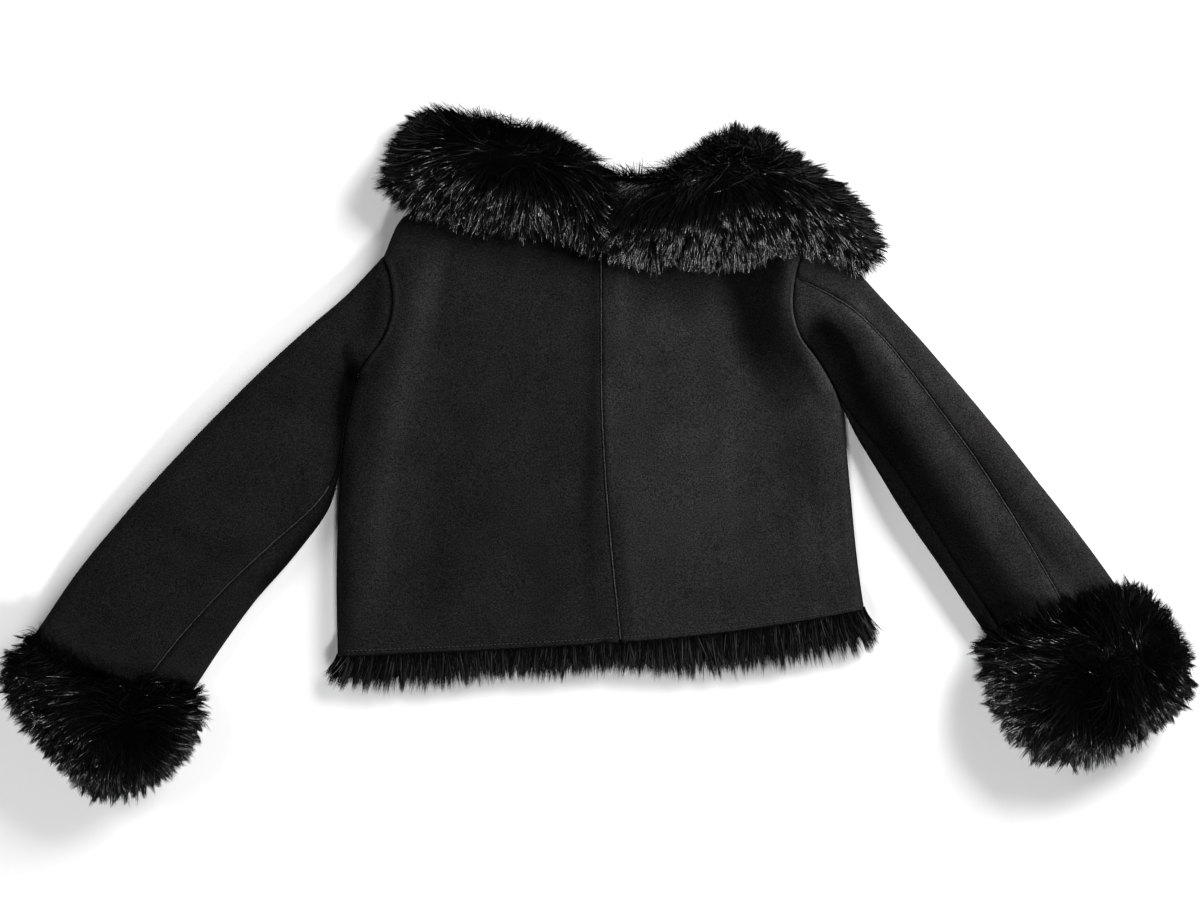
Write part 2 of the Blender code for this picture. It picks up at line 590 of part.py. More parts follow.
def collar_seat(collection):
    """A cutter with the outline of the coat under the collar, a little larger and higher than the coat."""
    left, right = Half(True), Half(False)
    head = [SLEEVE_HEAD * (k + 1) / SEAT_HEAD_STEPS for k in range(SEAT_HEAD_STEPS)]
    line = [tuple(smooth(LEFT_SLEEVE, along)[:2]) for along in reversed(head)]
    line += [tuple(smooth(left.top_line(True), k / SEAT_STEPS)) for k in range(SEAT_STEPS + 1)]
    line += [tuple(smooth(right.top_line(True), 1 - k / SEAT_STEPS)) for k in range(1, SEAT_STEPS + 1)]
    line += [tuple(smooth(RIGHT_SLEEVE, along)[:2]) for along in head]
    points = []
    for k, here in enumerate(line):
        before, after = np.array(line[max(k - 1, 0)]), np.array(line[min(k + 1, len(line) - 1)])
        run = (after - before) / math.dist(before, after)
        points.append(np.array(here) + COLLAR_CLEARANCE * np.array([-run[1], run[0]]))
    points += [np.array([line[-1][0], SEAT_LOW_Y]), np.array([line[0][0], SEAT_LOW_Y])]
    count = len(points)
    solid = [(p[0], p[1], -SEAT_BELOW) for p in points]
    solid += [(p[0], p[1], BODY_HEIGHT + COLLAR_CLEARANCE) for p in points]
    faces = [tuple(range(count)), tuple(range(count, 2 * count))]
    faces += [(k, (k + 1) % count, count + (k + 1) % count, count + k) for k in range(count)]
    cutter = add_solid("collar_seat", solid, faces, plain_material("cutter", BLACK_SUEDE, 1.0), collection)
    cutter.hide_render = True
    cutter.display_type = "WIRE"
    return cutter


# --- scene ---


def plain_material(name, color, roughness):
    """A material with one colour and roughness."""
    material = bpy.data.materials.new(name)
    material.use_nodes = True
    shader = material.node_tree.nodes["Principled BSDF"]
    shader.inputs["Base Color"].default_value = color
    shader.inputs["Roughness"].default_value = roughness
    shader.inputs["Metallic"].default_value = 0.0
    return material


def suede(name):
    return plain_material("suede_" + name, BLACK_SUEDE, 0.92)


def fur(name):
    return plain_material("fur_" + name, BLACK_FUR, 0.45)


def clear_scene():
    for obj in list(bpy.data.objects):
        bpy.data.objects.remove(obj, do_unlink=True)


def add_collection(name):
    collection = bpy.data.collections.new(name)
    bpy.context.scene.collection.children.link(collection)
    return collection


def build():
    """Makes every piece of the coat."""
    clear_scene()
    coat = add_collection("shearling_coat")
    cutters = add_collection("cutters")
    left, right = Half(True), Half(False)
    for half in (left, right):
        side = "left" if half.is_left else "right"
        body_panel(half, True, BACK_ROWS, BACK_COLUMNS, suede("back_" + side), coat)
        body_panel(half, False, FRONT_ROWS, FRONT_COLUMNS, suede("front_" + side), coat)
    sleeve_piece(left, "sleeve_left_upper", LEFT_UPPER, suede("sleeve_left_upper"), coat)
    sleeve_piece(left, "sleeve_left_under", LEFT_UNDER, suede("sleeve_left_under"), coat)
    sleeve_piece(right, "sleeve_right_upper", RIGHT_UPPER, suede("sleeve_right_upper"), coat)
    sleeve_piece(right, "sleeve_right_under", RIGHT_UNDER, suede("sleeve_right_under"), coat)
    cuff(left, LEFT_CUFF, "cuff_left", LEFT_SLEEVE[-1].height / 2, fur("cuff_left"), coat)
    cuff(right, RIGHT_CUFF, "cuff_right", RIGHT_SLEEVE[-1].height / 2, fur("cuff_right"), coat)
    hem_wool("hem_fur_back", True, fur("hem_back"), coat)
    hem_wool("hem_fur_front", False, fur("hem_front"), coat)
    seat = collar_seat(cutters)
    collar_half(left, LEFT_COLLAR, "collar_left", fur("collar_left"), coat, seat)
    collar_half(right, RIGHT_COLLAR, "collar_right", fur("collar_right"), coat, seat)


build()
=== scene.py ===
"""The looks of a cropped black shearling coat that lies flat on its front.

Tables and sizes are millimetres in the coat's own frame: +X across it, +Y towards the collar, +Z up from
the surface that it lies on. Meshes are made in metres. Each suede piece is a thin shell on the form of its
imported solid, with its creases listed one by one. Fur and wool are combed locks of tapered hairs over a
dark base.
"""

from __future__ import annotations

import logging
import math
from dataclasses import dataclass, replace
from enum import Enum
from typing import NamedTuple

import bpy
import numpy as np
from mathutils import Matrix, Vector
from mathutils.bvhtree import BVHTree

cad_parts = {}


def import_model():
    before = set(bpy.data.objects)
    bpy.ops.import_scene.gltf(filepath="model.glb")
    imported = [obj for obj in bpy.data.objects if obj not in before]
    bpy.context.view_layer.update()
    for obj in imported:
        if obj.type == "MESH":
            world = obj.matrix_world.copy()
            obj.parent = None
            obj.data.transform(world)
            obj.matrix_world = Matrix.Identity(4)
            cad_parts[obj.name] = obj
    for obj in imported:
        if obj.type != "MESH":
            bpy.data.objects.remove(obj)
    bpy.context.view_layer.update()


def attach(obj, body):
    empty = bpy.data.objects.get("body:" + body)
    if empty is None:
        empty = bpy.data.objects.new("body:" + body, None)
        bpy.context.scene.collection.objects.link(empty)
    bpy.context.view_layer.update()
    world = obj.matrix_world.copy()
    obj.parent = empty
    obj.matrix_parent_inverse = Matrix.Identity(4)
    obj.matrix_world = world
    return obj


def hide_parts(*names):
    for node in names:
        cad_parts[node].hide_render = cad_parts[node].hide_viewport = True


MM = 0.001
LOG = logging.getLogger("shearling_coat")

SEAM_GAP = 0.3  # between two pieces that are sewn together
EDGE_RADIUS = 12.0  # how far in the rounded edges of the body and the sleeves reach
BODY_HEIGHT = 22.0  # of both layers of the body
BELOW_ARM = 261.0  # about the length of a panel from its hem to the underarm
HEM_WIDTH = 500.0
SLEEVE_LENGTH = 420.0  # about the length of a sleeve's middle, without its cuff
UNDERARM_EASE = 1.8  # how far the body draws in at the underarm
UNDERARM_REACH = 14.0  # how far round the underarm it does
ARMHOLE_EASE = 0.18  # how far body and sleeve each draw back from the armhole
SLEEVE_CROWN = 0.16  # the share by which a sleeve's top rises less at its edges
SLEEVE_HEAD = 0.3  # the share of a sleeve's length over which it bends to the armhole
BEND_POWER = 2.0  # how fast that bend dies out
BEND_POWER_GAIN = 8.0  # how much faster it does at the sleeve's inner edge
SKIN = 1.8  # thickness of the suede shell
FLOOR_GAP = 0.8  # how far a fur's base stays above the surface that the coat lies on
LOWEST_HAIR = 0.7  # how far hairs do
HAIR_LEAN = 38.0  # degrees that a hair's normals lean out at its edges, so that it shines as if round
FADE_POWER = 0.6  # less than 1, so that a stroke that fades does so near its ends
FAR = 1e3  # a distance beyond any on the coat

Points = np.ndarray
Faces = list[tuple[int, ...]]


class BodyRow(NamedTuple):
    """A level of the body: its left edge, centre seam, right edge, and how far each half sags."""

    left_x: float
    left_y: float
    seam_x: float
    seam_y: float
    right_x: float
    right_y: float
    left_sag: float
    right_sag: float


class SleeveRow(NamedTuple):
    """A section of a sleeve: outer edge, inner edge, bow towards the cuff, height, places of two seams."""

    outer_x: float
    outer_y: float
    inner_x: float
    inner_y: float
    bow: float
    height: float
    seam_a: float
    seam_b: float


class CuffRow(NamedTuple):
    """A section of a cuff: outer edge, inner edge, bow towards its mouth, height, lift of its underside."""

    outer_x: float
    outer_y: float
    inner_x: float
    inner_y: float
    bow: float
    height: float
    lift: float


class CollarRow(NamedTuple):
    """A section of the collar: its edge on the back, its edge beyond the neckline, height between them."""

    low_x: float
    low_y: float
    high_x: float
    high_y: float
    crown: float


class HemRow(NamedTuple):
    """The wool at a place along the hem: how far it reaches and how far its ends lean towards +X."""

    reach: float
    lean: float


BODY = [BodyRow(*row) for row in (
    (-249.4, -199, 20.4, -185.7, 252.2, -154.4, 1, 4),
    (-250.3, -150, 15.5, -138, 247.5, -122, 1, 3),
    (-250.3, -106.9, 11, -94, 243.5, -88, 0, 2),
    (-248.4, -49.9, 6.5, -40, 239.5, -45, 0, 0),
    (-243.7, 7.1, 3.3, 12, 236, -8, 0, 0),
    (-237, 45.1, 2.2, 38, 234.4, 14, 0, 0),
    (-230.4, 71.7, 1.8, 60, 233.2, 33.7, 0, 0),
)]
BACK_NECK = (1.4, 238.0)
FRONT_NECK = (1.4, 172.0)
BACK_NECK_HALF = 40.0
FRONT_NECK_RISE = 32.0
LEFT_ARMHOLE = [(-205.7, 181.9), (-199.0, 163.9), (-196.2, 140.1), (-199.5, 119.0), (-207.5, 101.0),
                (-218.5, 87.0), (-230.4, 71.7)]
RIGHT_ARMHOLE = [(201.9, 200.9), (188.0, 170.0), (183.8, 134.0), (191.0, 106.0), (206.6, 84.0),
                 (220.5, 61.0), (233.2, 33.7)]
LEFT_SHOULDER = [(-205.7, 181.9), (-185.0, 221.0), (-135.0, 240.0), (-80.3, 248.0)]
RIGHT_SHOULDER = [(201.9, 200.9), (181.0, 218.0), (136.0, 236.0), (86.0, 248.4)]
LEFT_SLEEVE = [SleeveRow(*row) for row in (
    (-205.7, 181.9, -230.4, 71.7, 0, 22, 0.95, 1.16),
    (-239.9, 145.8, -240, 37.5, 2, 22, 0.95, 1.17),
    (-276.9, 114, -245.6, 3.3, 3, 24, 0.94, 1.18),
    (-313, 81.2, -249, -31.8, 4, 26, 0.91, 1.19),
    (-348.2, 47, -260.5, -64.1, 5, 27, 0.87, 1.20),
    (-400, -6.2, -292.1, -105.9, 6, 27, 0.81, 1.20),
    (-449.8, -61.3, -326.7, -145.8, 8, 26, 0.77, 1.20),
    (-496.6, -118.3, -358.1, -188.1, 10, 25, 0.73, 1.20),
    (-538.2, -179.1, -387.1, -232.3, 13, 24, 0.69, 1.20),
)]
RIGHT_SLEEVE = [SleeveRow(*row) for row in (
    (201.9, 200.9, 233.2, 33.7, 0, 22, 0.23, 0.90),
    (238, 174.3, 244.2, 10.9, 2, 22, 0.24, 0.88),
    (268.9, 142, 257.3, -10.9, 3, 25, 0.26, 0.86),
    (299.3, 109.3, 270.3, -32.5, 4, 29, 0.28, 0.84),
    (328.5, 75.5, 283.4, -54.3, 4, 31, 0.29, 0.83),
    (371.9, 24.2, 304.5, -86, 4, 32, 0.31, 0.84),
    (413.5, -28.3, 326.3, -117.3, 3, 32, 0.34, 0.85),
    (454.9, -81, 347.2, -148.7, 2, 31, 0.38, 0.85),
    (494.5, -135.4, 369.1, -180, 1, 30, 0.42, 0.86),
)]
LEFT_CUFF = [CuffRow(*row) for row in (
    (-541.4, -178.5, -384.5, -233.8, 13, 29, 1),
    (-560, -193, -375.5, -244, 14, 44, 0),
    (-565.5, -214, -375, -262, 16, 53, 0),
    (-558, -240, -384.5, -283, 20, 55, 0),
    (-541, -266, -397, -301, 24, 50, 0),
    (-518, -288, -417, -314, 22, 39, 1),
    (-498, -304, -434, -322, 9, 26, 4),
)]
RIGHT_CUFF = [CuffRow(*row) for row in (
    (497.9, -134.7, 366.3, -181.5, 1, 35, 1),
    (531, -147, 357.5, -195, 4, 52, 0),
    (551, -174, 361, -218, 8, 60, 0),
    (561.5, -205, 370, -243, 10, 62, 0),
    (558, -236, 382, -265, 16, 56, 0),
    (527, -262, 402, -287, 14, 44, 1),
    (494, -280, 424, -296, 6, 28, 4),
)]
LEFT_COLLAR = [CollarRow(*row) for row in (
    (5, 180, 7, 268, 43),
    (-14, 187, -9, 278, 47),
    (-37.5, 199, -30, 293, 52),
    (-66, 204, -56.5, 307, 56),
    (-94.5, 203, -87, 311, 58),
    (-123, 209, -115.5, 318, 58),
    (-151.5, 217, -146, 323, 55),
    (-173, 223, -171, 317, 49),
    (-190, 228, -189, 291, 41),
    (-197.5, 240, -199, 262, 30),
)]
RIGHT_COLLAR = [CollarRow(*row) for row in (
    (5.4, 180, 7.4, 268, 43),
    (38.5, 173, 43, 266, 47),
    (76.5, 174, 78, 276, 52),
    (110, 171, 101, 295, 57),
    (143, 176, 132, 305, 58),
    (176, 187, 167, 293, 56),
    (205, 183, 198, 270, 52),
    (228.5, 175, 227, 252, 47),
    (249, 166, 247, 228, 40),
    (260.5, 169, 260.5, 196, 30),
)]
HEM_WOOL = [HemRow(*row) for row in (
    (29, -9), (35, -4), (30, 2), (31, -2), (30, 0), (38, 2), (41, 3), (40, 6),
    (38, 12),
)]


# --- creases, and painted light and shade ---


class Profile(Enum):
    """How a stroke falls away from its middle line."""

    SOFT = 2.0
    PINCHED = 1.1
    FLAT = 4.0


@dataclass(frozen=True)
class Stroke:
    """A soft mark along a line of points: a trough or a ridge, or a place painted paler as light or darker
    as shade, on the brushed nap.

    Attributes:
        line: the points that it runs through, as (x, y).
        width: how far out it falls away.
        height: its height in the middle, less than 0 for a trough, or how much paler it paints the suede as
            light, less than 0 as shade.
        profile: how it falls away.
        fades: whether it dies out at both ends.
    """

    line: tuple[tuple[float, float], ...]
    width: float
    height: float
    profile: Profile = Profile.SOFT
    fades: bool = True

    def relief(self, x: np.ndarray, y: np.ndarray) -> np.ndarray:
        """The height that this stroke adds at some places.

        Args:
            x: their places across the coat.
            y: their places up the coat.

        Returns:
            An array of heights of the same shape.
        """
        ends = np.array(self.line)
        lengths = np.hypot(*(ends[1:] - ends[:-1]).T)
        starts = np.concatenate([[0.0], np.cumsum(lengths)])
        best = np.full(x.shape, np.inf)
        run = np.zeros(x.shape)
        for k, length in enumerate(lengths):
            step = (ends[k + 1] - ends[k]) / length
            along = np.clip((x - ends[k][0]) * step[0] + (y - ends[k][1]) * step[1], 0.0, length)
            away = np.hypot(x - ends[k][0] - along * step[0], y - ends[k][1] - along * step[1])
            nearer = away < best
            run = np.where(nearer, starts[k] + along, run)
            best = np.where(nearer, away, best)
        height = self.height * np.exp(-((best / self.width) ** self.profile.value))
        if self.fades:
            height = height * np.sin(np.pi * np.clip(run / starts[-1], 0.0, 1.0)) ** FADE_POWER
        return height


def fold(x0: float, y0: float, x1: float, y1: float, x2: float, y2: float, width: float,
         height: float) -> Stroke:
    """One of the largest folds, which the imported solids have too, along three points."""
    return Stroke(((x0, y0), (x1, y1), (x2, y2)), width, height, fades=False)


FOLDS = [
    fold(-172, 165, -199, -10, -220, -170, 25, 4.5),
    fold(-150, 130, -160, 0, -170, -150, 20, -2),
    fold(-6, -40, -3, -100, 2, -175, 16, -2.2),
    fold(166, 145, 176, 95, 190, 45, 22, -4.5),
    fold(206, 20, 212, -50, 220, -130, 18, 2.5),
    fold(183, -60, 190, -100, 200, -155, 11, 1.6),
    fold(226, 92, 275, 0, 400, -155, 20, -6),
    fold(238, 137, 322, 14, 440, -145, 13, 4.5),
    fold(461, -148, 463, -195, 474, -240, 15, -13),
    fold(-244, 92, -240, 80, -238, 68, 5, -5),
    fold(-300, 70, -400, -50, -475, -165, 28, 2.5),
    fold(-266, 70, -272, 10, -300, -60, 15, -2.5),
]
TOP_CREASES = [
    Stroke(((192, 196), (188, 168), (185, 140), (192, 110), (204, 84), (218, 60)), 11, 4),
    Stroke(((132, 180), (136, 130), (150, 84), (172, 58)), 17, -2.6),
    Stroke(((-244, 92), (-239, 82), (-237, 68)), 3.4, -2.6, Profile.PINCHED),
    Stroke(((-229, 92), (-224, 82), (-218, 72)), 3.2, -2.2, Profile.PINCHED),
    Stroke(((-252, 140), (-240, 141), (-226, 143)), 3, -1.3),
    Stroke(((-268, 112), (-255, 110), (-240, 111)), 3.6, -1.2),
    Stroke(((-262, 128), (-246, 124), (-228, 128)), 5, 1),
    Stroke(((-310, 40), (-290, 30), (-262, 26)), 7, -1.1),
    Stroke(((-352, 20), (-330, 4), (-305, -8)), 9, 0.9),
    Stroke(((-420, -80), (-398, -92), (-372, -96)), 8, -0.8),
    Stroke(((-480, -120), (-455, -140), (-420, -150)), 7, 0.8),
    Stroke(((-520, -160), (-500, -176), (-478, -180)), 5, -1),
    Stroke(((-452, -178), (-440, -196), (-424, -212)), 4.5, -1.1),
    Stroke(((198, 168), (206, 160), (216, 154)), 3.2, -1.5, Profile.PINCHED),
    Stroke(((206, 150), (216, 142), (230, 139)), 4, -1),
    Stroke(((200, 122), (214, 104), (226, 84)), 6, -2.2),
    Stroke(((236, 62), (252, 40), (262, 14)), 6, -1.6),
    Stroke(((255, 96), (268, 84), (284, 74)), 5, 0.8),
    Stroke(((300, -6), (312, -24), (318, -46)), 7, -1),
    Stroke(((350, -40), (362, -60), (368, -82)), 7, 0.8),
    Stroke(((392, -92), (402, -112), (404, -132)), 6, -0.9),
    Stroke(((438, -70), (452, -92), (466, -108)), 6, 0.9),
    Stroke(((478, -122), (484, -132), (486, -142)), 3.6, -1.6, Profile.PINCHED),
    Stroke(((402, -158), (412, -168), (420, -180)), 4, -1.4),
    Stroke(((-196, 204), (-180, 160), (-176, 120)), 9, 1.2),
    Stroke(((-120, 190), (-128, 110), (-126, 30)), 24, 1),
    Stroke(((-70, 170), (-64, 60), (-72, -60)), 20, -0.8),
    Stroke(((-222, 40), (-226, -20), (-230, -90)), 7, -1),
    Stroke(((-206, -60), (-212, -110), (-214, -165)), 6, 0.8),
    Stroke(((-100, -90), (-104, -130), (-102, -180)), 12, 0.8),
    Stroke(((60, 150), (70, 60), (74, -40)), 26, 1.1),
    Stroke(((120, 160), (132, 90), (140, 10)), 16, -1),
    Stroke(((150, 40), (160, -30), (172, -110)), 14, 0.9),
    Stroke(((178, 176), (170, 140), (176, 104)), 5.5, 1.4),
    Stroke(((196, 62), (206, 44), (216, 28)), 6, -1.2),
    Stroke(((222, 10), (224, -40), (230, -90)), 5, -0.8),
    Stroke(((40, -110), (48, -140), (52, -172)), 10, -0.7),
    Stroke(((216, -100), (226, -120), (236, -142)), 5, 1),
]
SLEEVE_TROUGHS = [
    Stroke(((-236, 66), (-246, 20), (-250, -20), (-252, -60)), 13, -6, fades=False),
    Stroke(((200, 118), (216, 92), (236, 56), (256, 22)), 12, -4),
    Stroke(((236, 40), (262, 6), (300, -54), (352, -130), (380, -172)), 17, -5, fades=False),
]
PAINTED_LIGHT_RANGE = (0.16, 1.9)  # the darkest and the palest that the painted shade and light of the strokes make a skin, with its nap
# Each skin's grey, the left ones darker: partly the skins' own tone, partly painted shade where the light
# falls off to the left.
SKIN_TONE_AND_PAINTED_FALLOFF = {"back_left": 0.66, "back_right": 1.03, "sleeve_left": 0.56, "sleeve_right": 0.92}
# Painted light and shade on the backs: below 0 painted shade, such as the collar's shadow and shaded
# hollows, above 0 painted light on lit ridges, with some brushed nap.
BODY_PAINTED_LIGHT_AND_NAP = [
    Stroke(((-149, 205), (-165.8, 140.1), (-180, 92.6), (-189.5, 45.1), (-199, -2.4)), 12, 0.7),
    Stroke(((-189.5, 45.1), (-199, -2.4), (-208.5, -49.9), (-213.3, -106.9), (-222.8, -175)), 13, 0.55),
    Stroke(((-236, 10), (-238, -30), (-240, -90), (-241, -180)), 8, -0.4),
    Stroke(((-145, 10), (-150, -60), (-150, -120), (-150, -190)), 22, -0.18),
    Stroke(((-204, 120), (-212, 80), (-226, 30), (-236, -20), (-240, -60)), 11, -0.34),
    Stroke(((-141, 196), (-145.8, 140), (-152, 85)), 7, -0.18),
    Stroke(((-170, 214), (-100, 202), (-37.5, 192), (0.5, 177), (95, 169), (190, 178)),
           21, -0.5, fades=False),
    Stroke(((-66, 196), (-24, 188), (20, 178), (70, 172)), 11, -0.45),
    Stroke(((30, 152), (76, 142), (122, 138)), 20, -0.34),
    Stroke(((21.4, 174), (21.4, 140), (22, 96)), 6.5, 0.3),
    Stroke(((-1, 180), (-3, 102), (-6, 22), (-11, -50), (-9, -126), (1, -185)), 9, -0.42),
    Stroke(((13, -30), (16, -70), (21, -126), (29, -200)), 7, -0.42),
    Stroke(((62, 150), (64, 118), (66, 84)), 8, 0.13),
    Stroke(((96, 60), (88, -40), (82, -160)), 32, 0.1),
    Stroke(((122, 20), (125, -50), (130, -120)), 6, 0.12),
    Stroke(((142, 205), (146, 140), (156, 100), (174, 70), (198, 44)), 28, -0.86, Profile.FLAT),
    Stroke(((186, 190), (181, 140), (188.5, 111), (201, 84), (217, 58)), 5, 0.95, fades=False),
    Stroke(((190, -10), (194, -50), (205, -110)), 7, 0.16),
    Stroke(((172, 50), (186, 0), (192, -40), (180, -90)), 24, -0.34),
    Stroke(((80, -130), (150, -136), (236, -140)), 46, -0.16, fades=False),
    Stroke(((226, -10), (229, -60), (238, -140)), 6, -0.12),
    Stroke(((-60, -60), (-40, -120), (-50, -180)), 34, -0.1),
    Stroke(((-120, 120), (-110, 20), (-120, -80)), 26, -0.06),
]
# Painted light and shade on the sleeves: below 0 painted shade, such as the body's shadow on the left sleeve
# and the shaded inner half of the right one, above 0 painted light on its lit ridge, with some brushed nap.
SLEEVE_PAINTED_LIGHT_AND_NAP = [
    Stroke(((-210, 180), (-211, 150), (-216, 118), (-228, 92)), 10, -0.42),
    Stroke(((-222, 92), (-234, 56), (-240, 14)), 20, -0.6),
    Stroke(((-234, 66), (-240, 37), (-244, 3), (-247, -32), (-258, -64),
            (-288, -104), (-314, -132)), 11, -0.8, fades=False),
    Stroke(((-300, 100), (-288, 70), (-276, 30)), 26, -0.16),
    Stroke(((-258, 98), (-259, 70), (-264, 36)), 6, 0.16),
    Stroke(((-420, -70), (-380, -88), (-336, -108)), 9, -0.14),
    Stroke(((-380, -160), (-350, -132), (-310, -100)), 11, 0.16),
    Stroke(((-230, 140), (-250, 120), (-280, 96)), 12, 0.12),
    Stroke(((-470, -110), (-450, -150), (-440, -200)), 22, -0.08),
    Stroke(((202, 130), (211, 108), (225, 86), (240, 57)), 15, -0.8, Profile.FLAT),
    Stroke(((222, 92), (238, 54), (261, 17), (293, -32), (318, -67), (343, -102),
            (367, -137), (392, -172)), 28, -0.82, Profile.FLAT, False),
    Stroke(((202, 176), (222, 142), (250, 106), (280, 60)), 12, 0.34),
    Stroke(((243, 130), (262, 104), (278, 81), (294, 49), (308, 23), (323, 0),
            (341, -18), (354, -42), (367, -64), (380, -86), (398, -104),
            (412, -124), (429, -144)), 10, 0.62, fades=False),
    Stroke(((330, 30), (354, 4), (386, -43), (404, -65), (422, -87), (438, -110), (455, -133)), 9, -0.4),
    Stroke(((272, 106), (290, 82), (326, 28), (369, -28), (411, -80), (447, -126)), 6, -0.34),
    Stroke(((290, 112), (350, 36), (420, -48), (482, -120)), 14, 0.16),
]
UNDERSIDE_CREASES = [
    Stroke(((-190, 150), (-200, 20), (-214, -150)), 14, 2.2),
    Stroke(((-120, 120), (-128, 0), (-130, -140)), 10, 1.4),
    Stroke(((-50, 60), (-58, -40), (-52, -170)), 9, 1.1),
    Stroke(((64, 90), (60, -20), (72, -150)), 12, 1.5),
    Stroke(((150, 140), (166, 40), (186, -120)), 13, 2),
    Stroke(((-250, 60), (-262, 30), (-276, 0)), 7, 1.8),
    Stroke(((-330, 10), (-380, -60), (-440, -150)), 10, 1.6),
    Stroke(((-420, -60), (-396, -84), (-366, -100)), 6, 1),
    Stroke(((238, 60), (290, 0), (380, -130)), 10, 1.8),
    Stroke(((330, 10), (356, -20), (372, -60)), 7, 1.2),
    Stroke(((250, 30), (262, 10), (268, -16)), 6, 1.4),
]


def relief_of(strokes: list[Stroke], x: np.ndarray, y: np.ndarray) -> np.ndarray:
    """The height that several strokes add together.

    Args:
        strokes: the strokes.
        x: places across the coat.
        y: places up the coat.

    Returns:
        An array of heights of the same shape as x.
    """
    total = np.zeros(x.shape)
    for stroke in strokes:
        total += stroke.relief(x, y)
    return total


def painted_light_of(skin_and_falloff: float, strokes: list[Stroke], x: np.ndarray, y: np.ndarray) -> np.ndarray:
    """How pale a skin is at some places: its grey times the painted light and shade of the strokes and its
    brushed nap, where 1 is the plain suede.
    """
    return skin_and_falloff * np.clip(1 + relief_of(strokes, x, y), *PAINTED_LIGHT_RANGE)


class Wave(NamedTuple):
    """A low wave of the skin: radians to a millimetre across and up the coat, its phase, and its height."""

    across: float
    up: float
    phase: float
    height: float


SLACK = [Wave(*row) for row in (
    (0.061, 0.022, 0.9, 0.28),
    (-0.034, 0.057, 2.1, 0.24),
    (0.097, -0.071, 0.4, 0.14),
    (0.018, 0.113, 1.7, 0.12),
    (-0.151, -0.043, 3.0, 0.08),
)]


def slack(x: np.ndarray, y: np.ndarray) -> np.ndarray:
    """The slight unevenness of soft skin that lies on wool, a few tenths of a millimetre."""
    return sum(wave.height * np.sin(wave.across * x + wave.up * y + wave.phase) for wave in SLACK)


def bell(away: np.ndarray, width: float) -> np.ndarray:
    """How much of a soft mark is left at a distance from its middle, from 1 down to 0."""
    return np.exp(-((away / width) ** 2))


# --- curves and meshes ---


def smooth(table: list, place: np.ndarray) -> np.ndarray:
    """Rows of a table at places from 0, its first row, to 1, its last, on a smooth curve through the rows.

    Args:
        table: the rows.
        place: the places, in an array of any shape.

    Returns:
        The rows, in an array with one more dimension than place.
    """
    rows = np.asarray(table, float)
    last = len(rows) - 1
    spot = np.clip(np.asarray(place, float), 0.0, 1.0) * last
    index = np.minimum(spot.astype(int), last - 1)
    t = (spot - index)[..., None]
    line = np.vstack([2 * rows[0] - rows[1], rows, 2 * rows[-1] - rows[-2]])
    before, a, b, after = (line[index + k] for k in range(4))
    return a + t * ((b - before) + t * (2 * before - 5 * a + 4 * b - after
                                        + t * (3 * a - before - 3 * b + after))) / 2


def half_section(width: np.ndarray, radius: float, place: np.ndarray) -> tuple[np.ndarray, np.ndarray]:
    """Places from 0 to 1 over a flattened tube.

    Args:
        width: the tube's width.
        radius: how far in its rounded edges reach.
        place: the places, by length along the section.

    Returns:
        The share of the width at each, and the share of the full rise.
    """
    quarter = radius * math.pi / 2
    length = 2 * quarter + width - 2 * radius
    run = place * length
    near = np.minimum(run, length - run)
    turned = near < quarter
    across = np.where(turned, radius * (1 - np.cos(near / radius)), radius + near - quarter)
    rise = np.where(turned, np.sin(near / radius), 1.0)
    share = across / width
    return np.where(run <= length / 2, share, 1 - share), rise


def edge_rise(away: np.ndarray) -> np.ndarray:
    """The share of the full rise at a distance in from a rounded edge."""
    return np.sqrt(np.maximum(1 - (1 - np.clip(away / EDGE_RADIUS, 0.0, 1.0)) ** 2, 0.0))


def turned_places(length: float, spacing: float, start: bool, end: bool) -> np.ndarray:
    """Places from 0 to 1 along a length, closer together where an edge of it rounds over.

    Args:
        length: the length.
        spacing: the distance between two places on its flat part.
        start: whether its start rounds over.
        end: whether its end does.

    Returns:
        The places, rising.
    """
    angles = np.linspace(0.0, math.pi / 2, 7)
    turn = EDGE_RADIUS * (1 - np.cos(angles)) / length
    first = turn if start else np.zeros(1)
    last = 1 - turn[::-1] if end else np.ones(1)
    count = max(round((last[0] - first[-1]) * length / spacing), 1)
    return np.concatenate([first[:-1], np.linspace(first[-1], last[0], count + 1), last[1:]])


def unit(vectors: np.ndarray) -> np.ndarray:
    """Vectors in the last dimension, each made one long."""
    return vectors / np.maximum(np.linalg.norm(vectors, axis=-1, keepdims=True), 1e-6)


def grid_normals(grid: Points) -> Points:
    """Unit normals of a grid of points, rows by columns by 3."""
    down = np.gradient(grid, axis=0)
    across = np.gradient(grid, axis=1)
    normals = np.cross(across, down)
    return normals / np.maximum(np.linalg.norm(normals, axis=-1, keepdims=True), 1e-9)


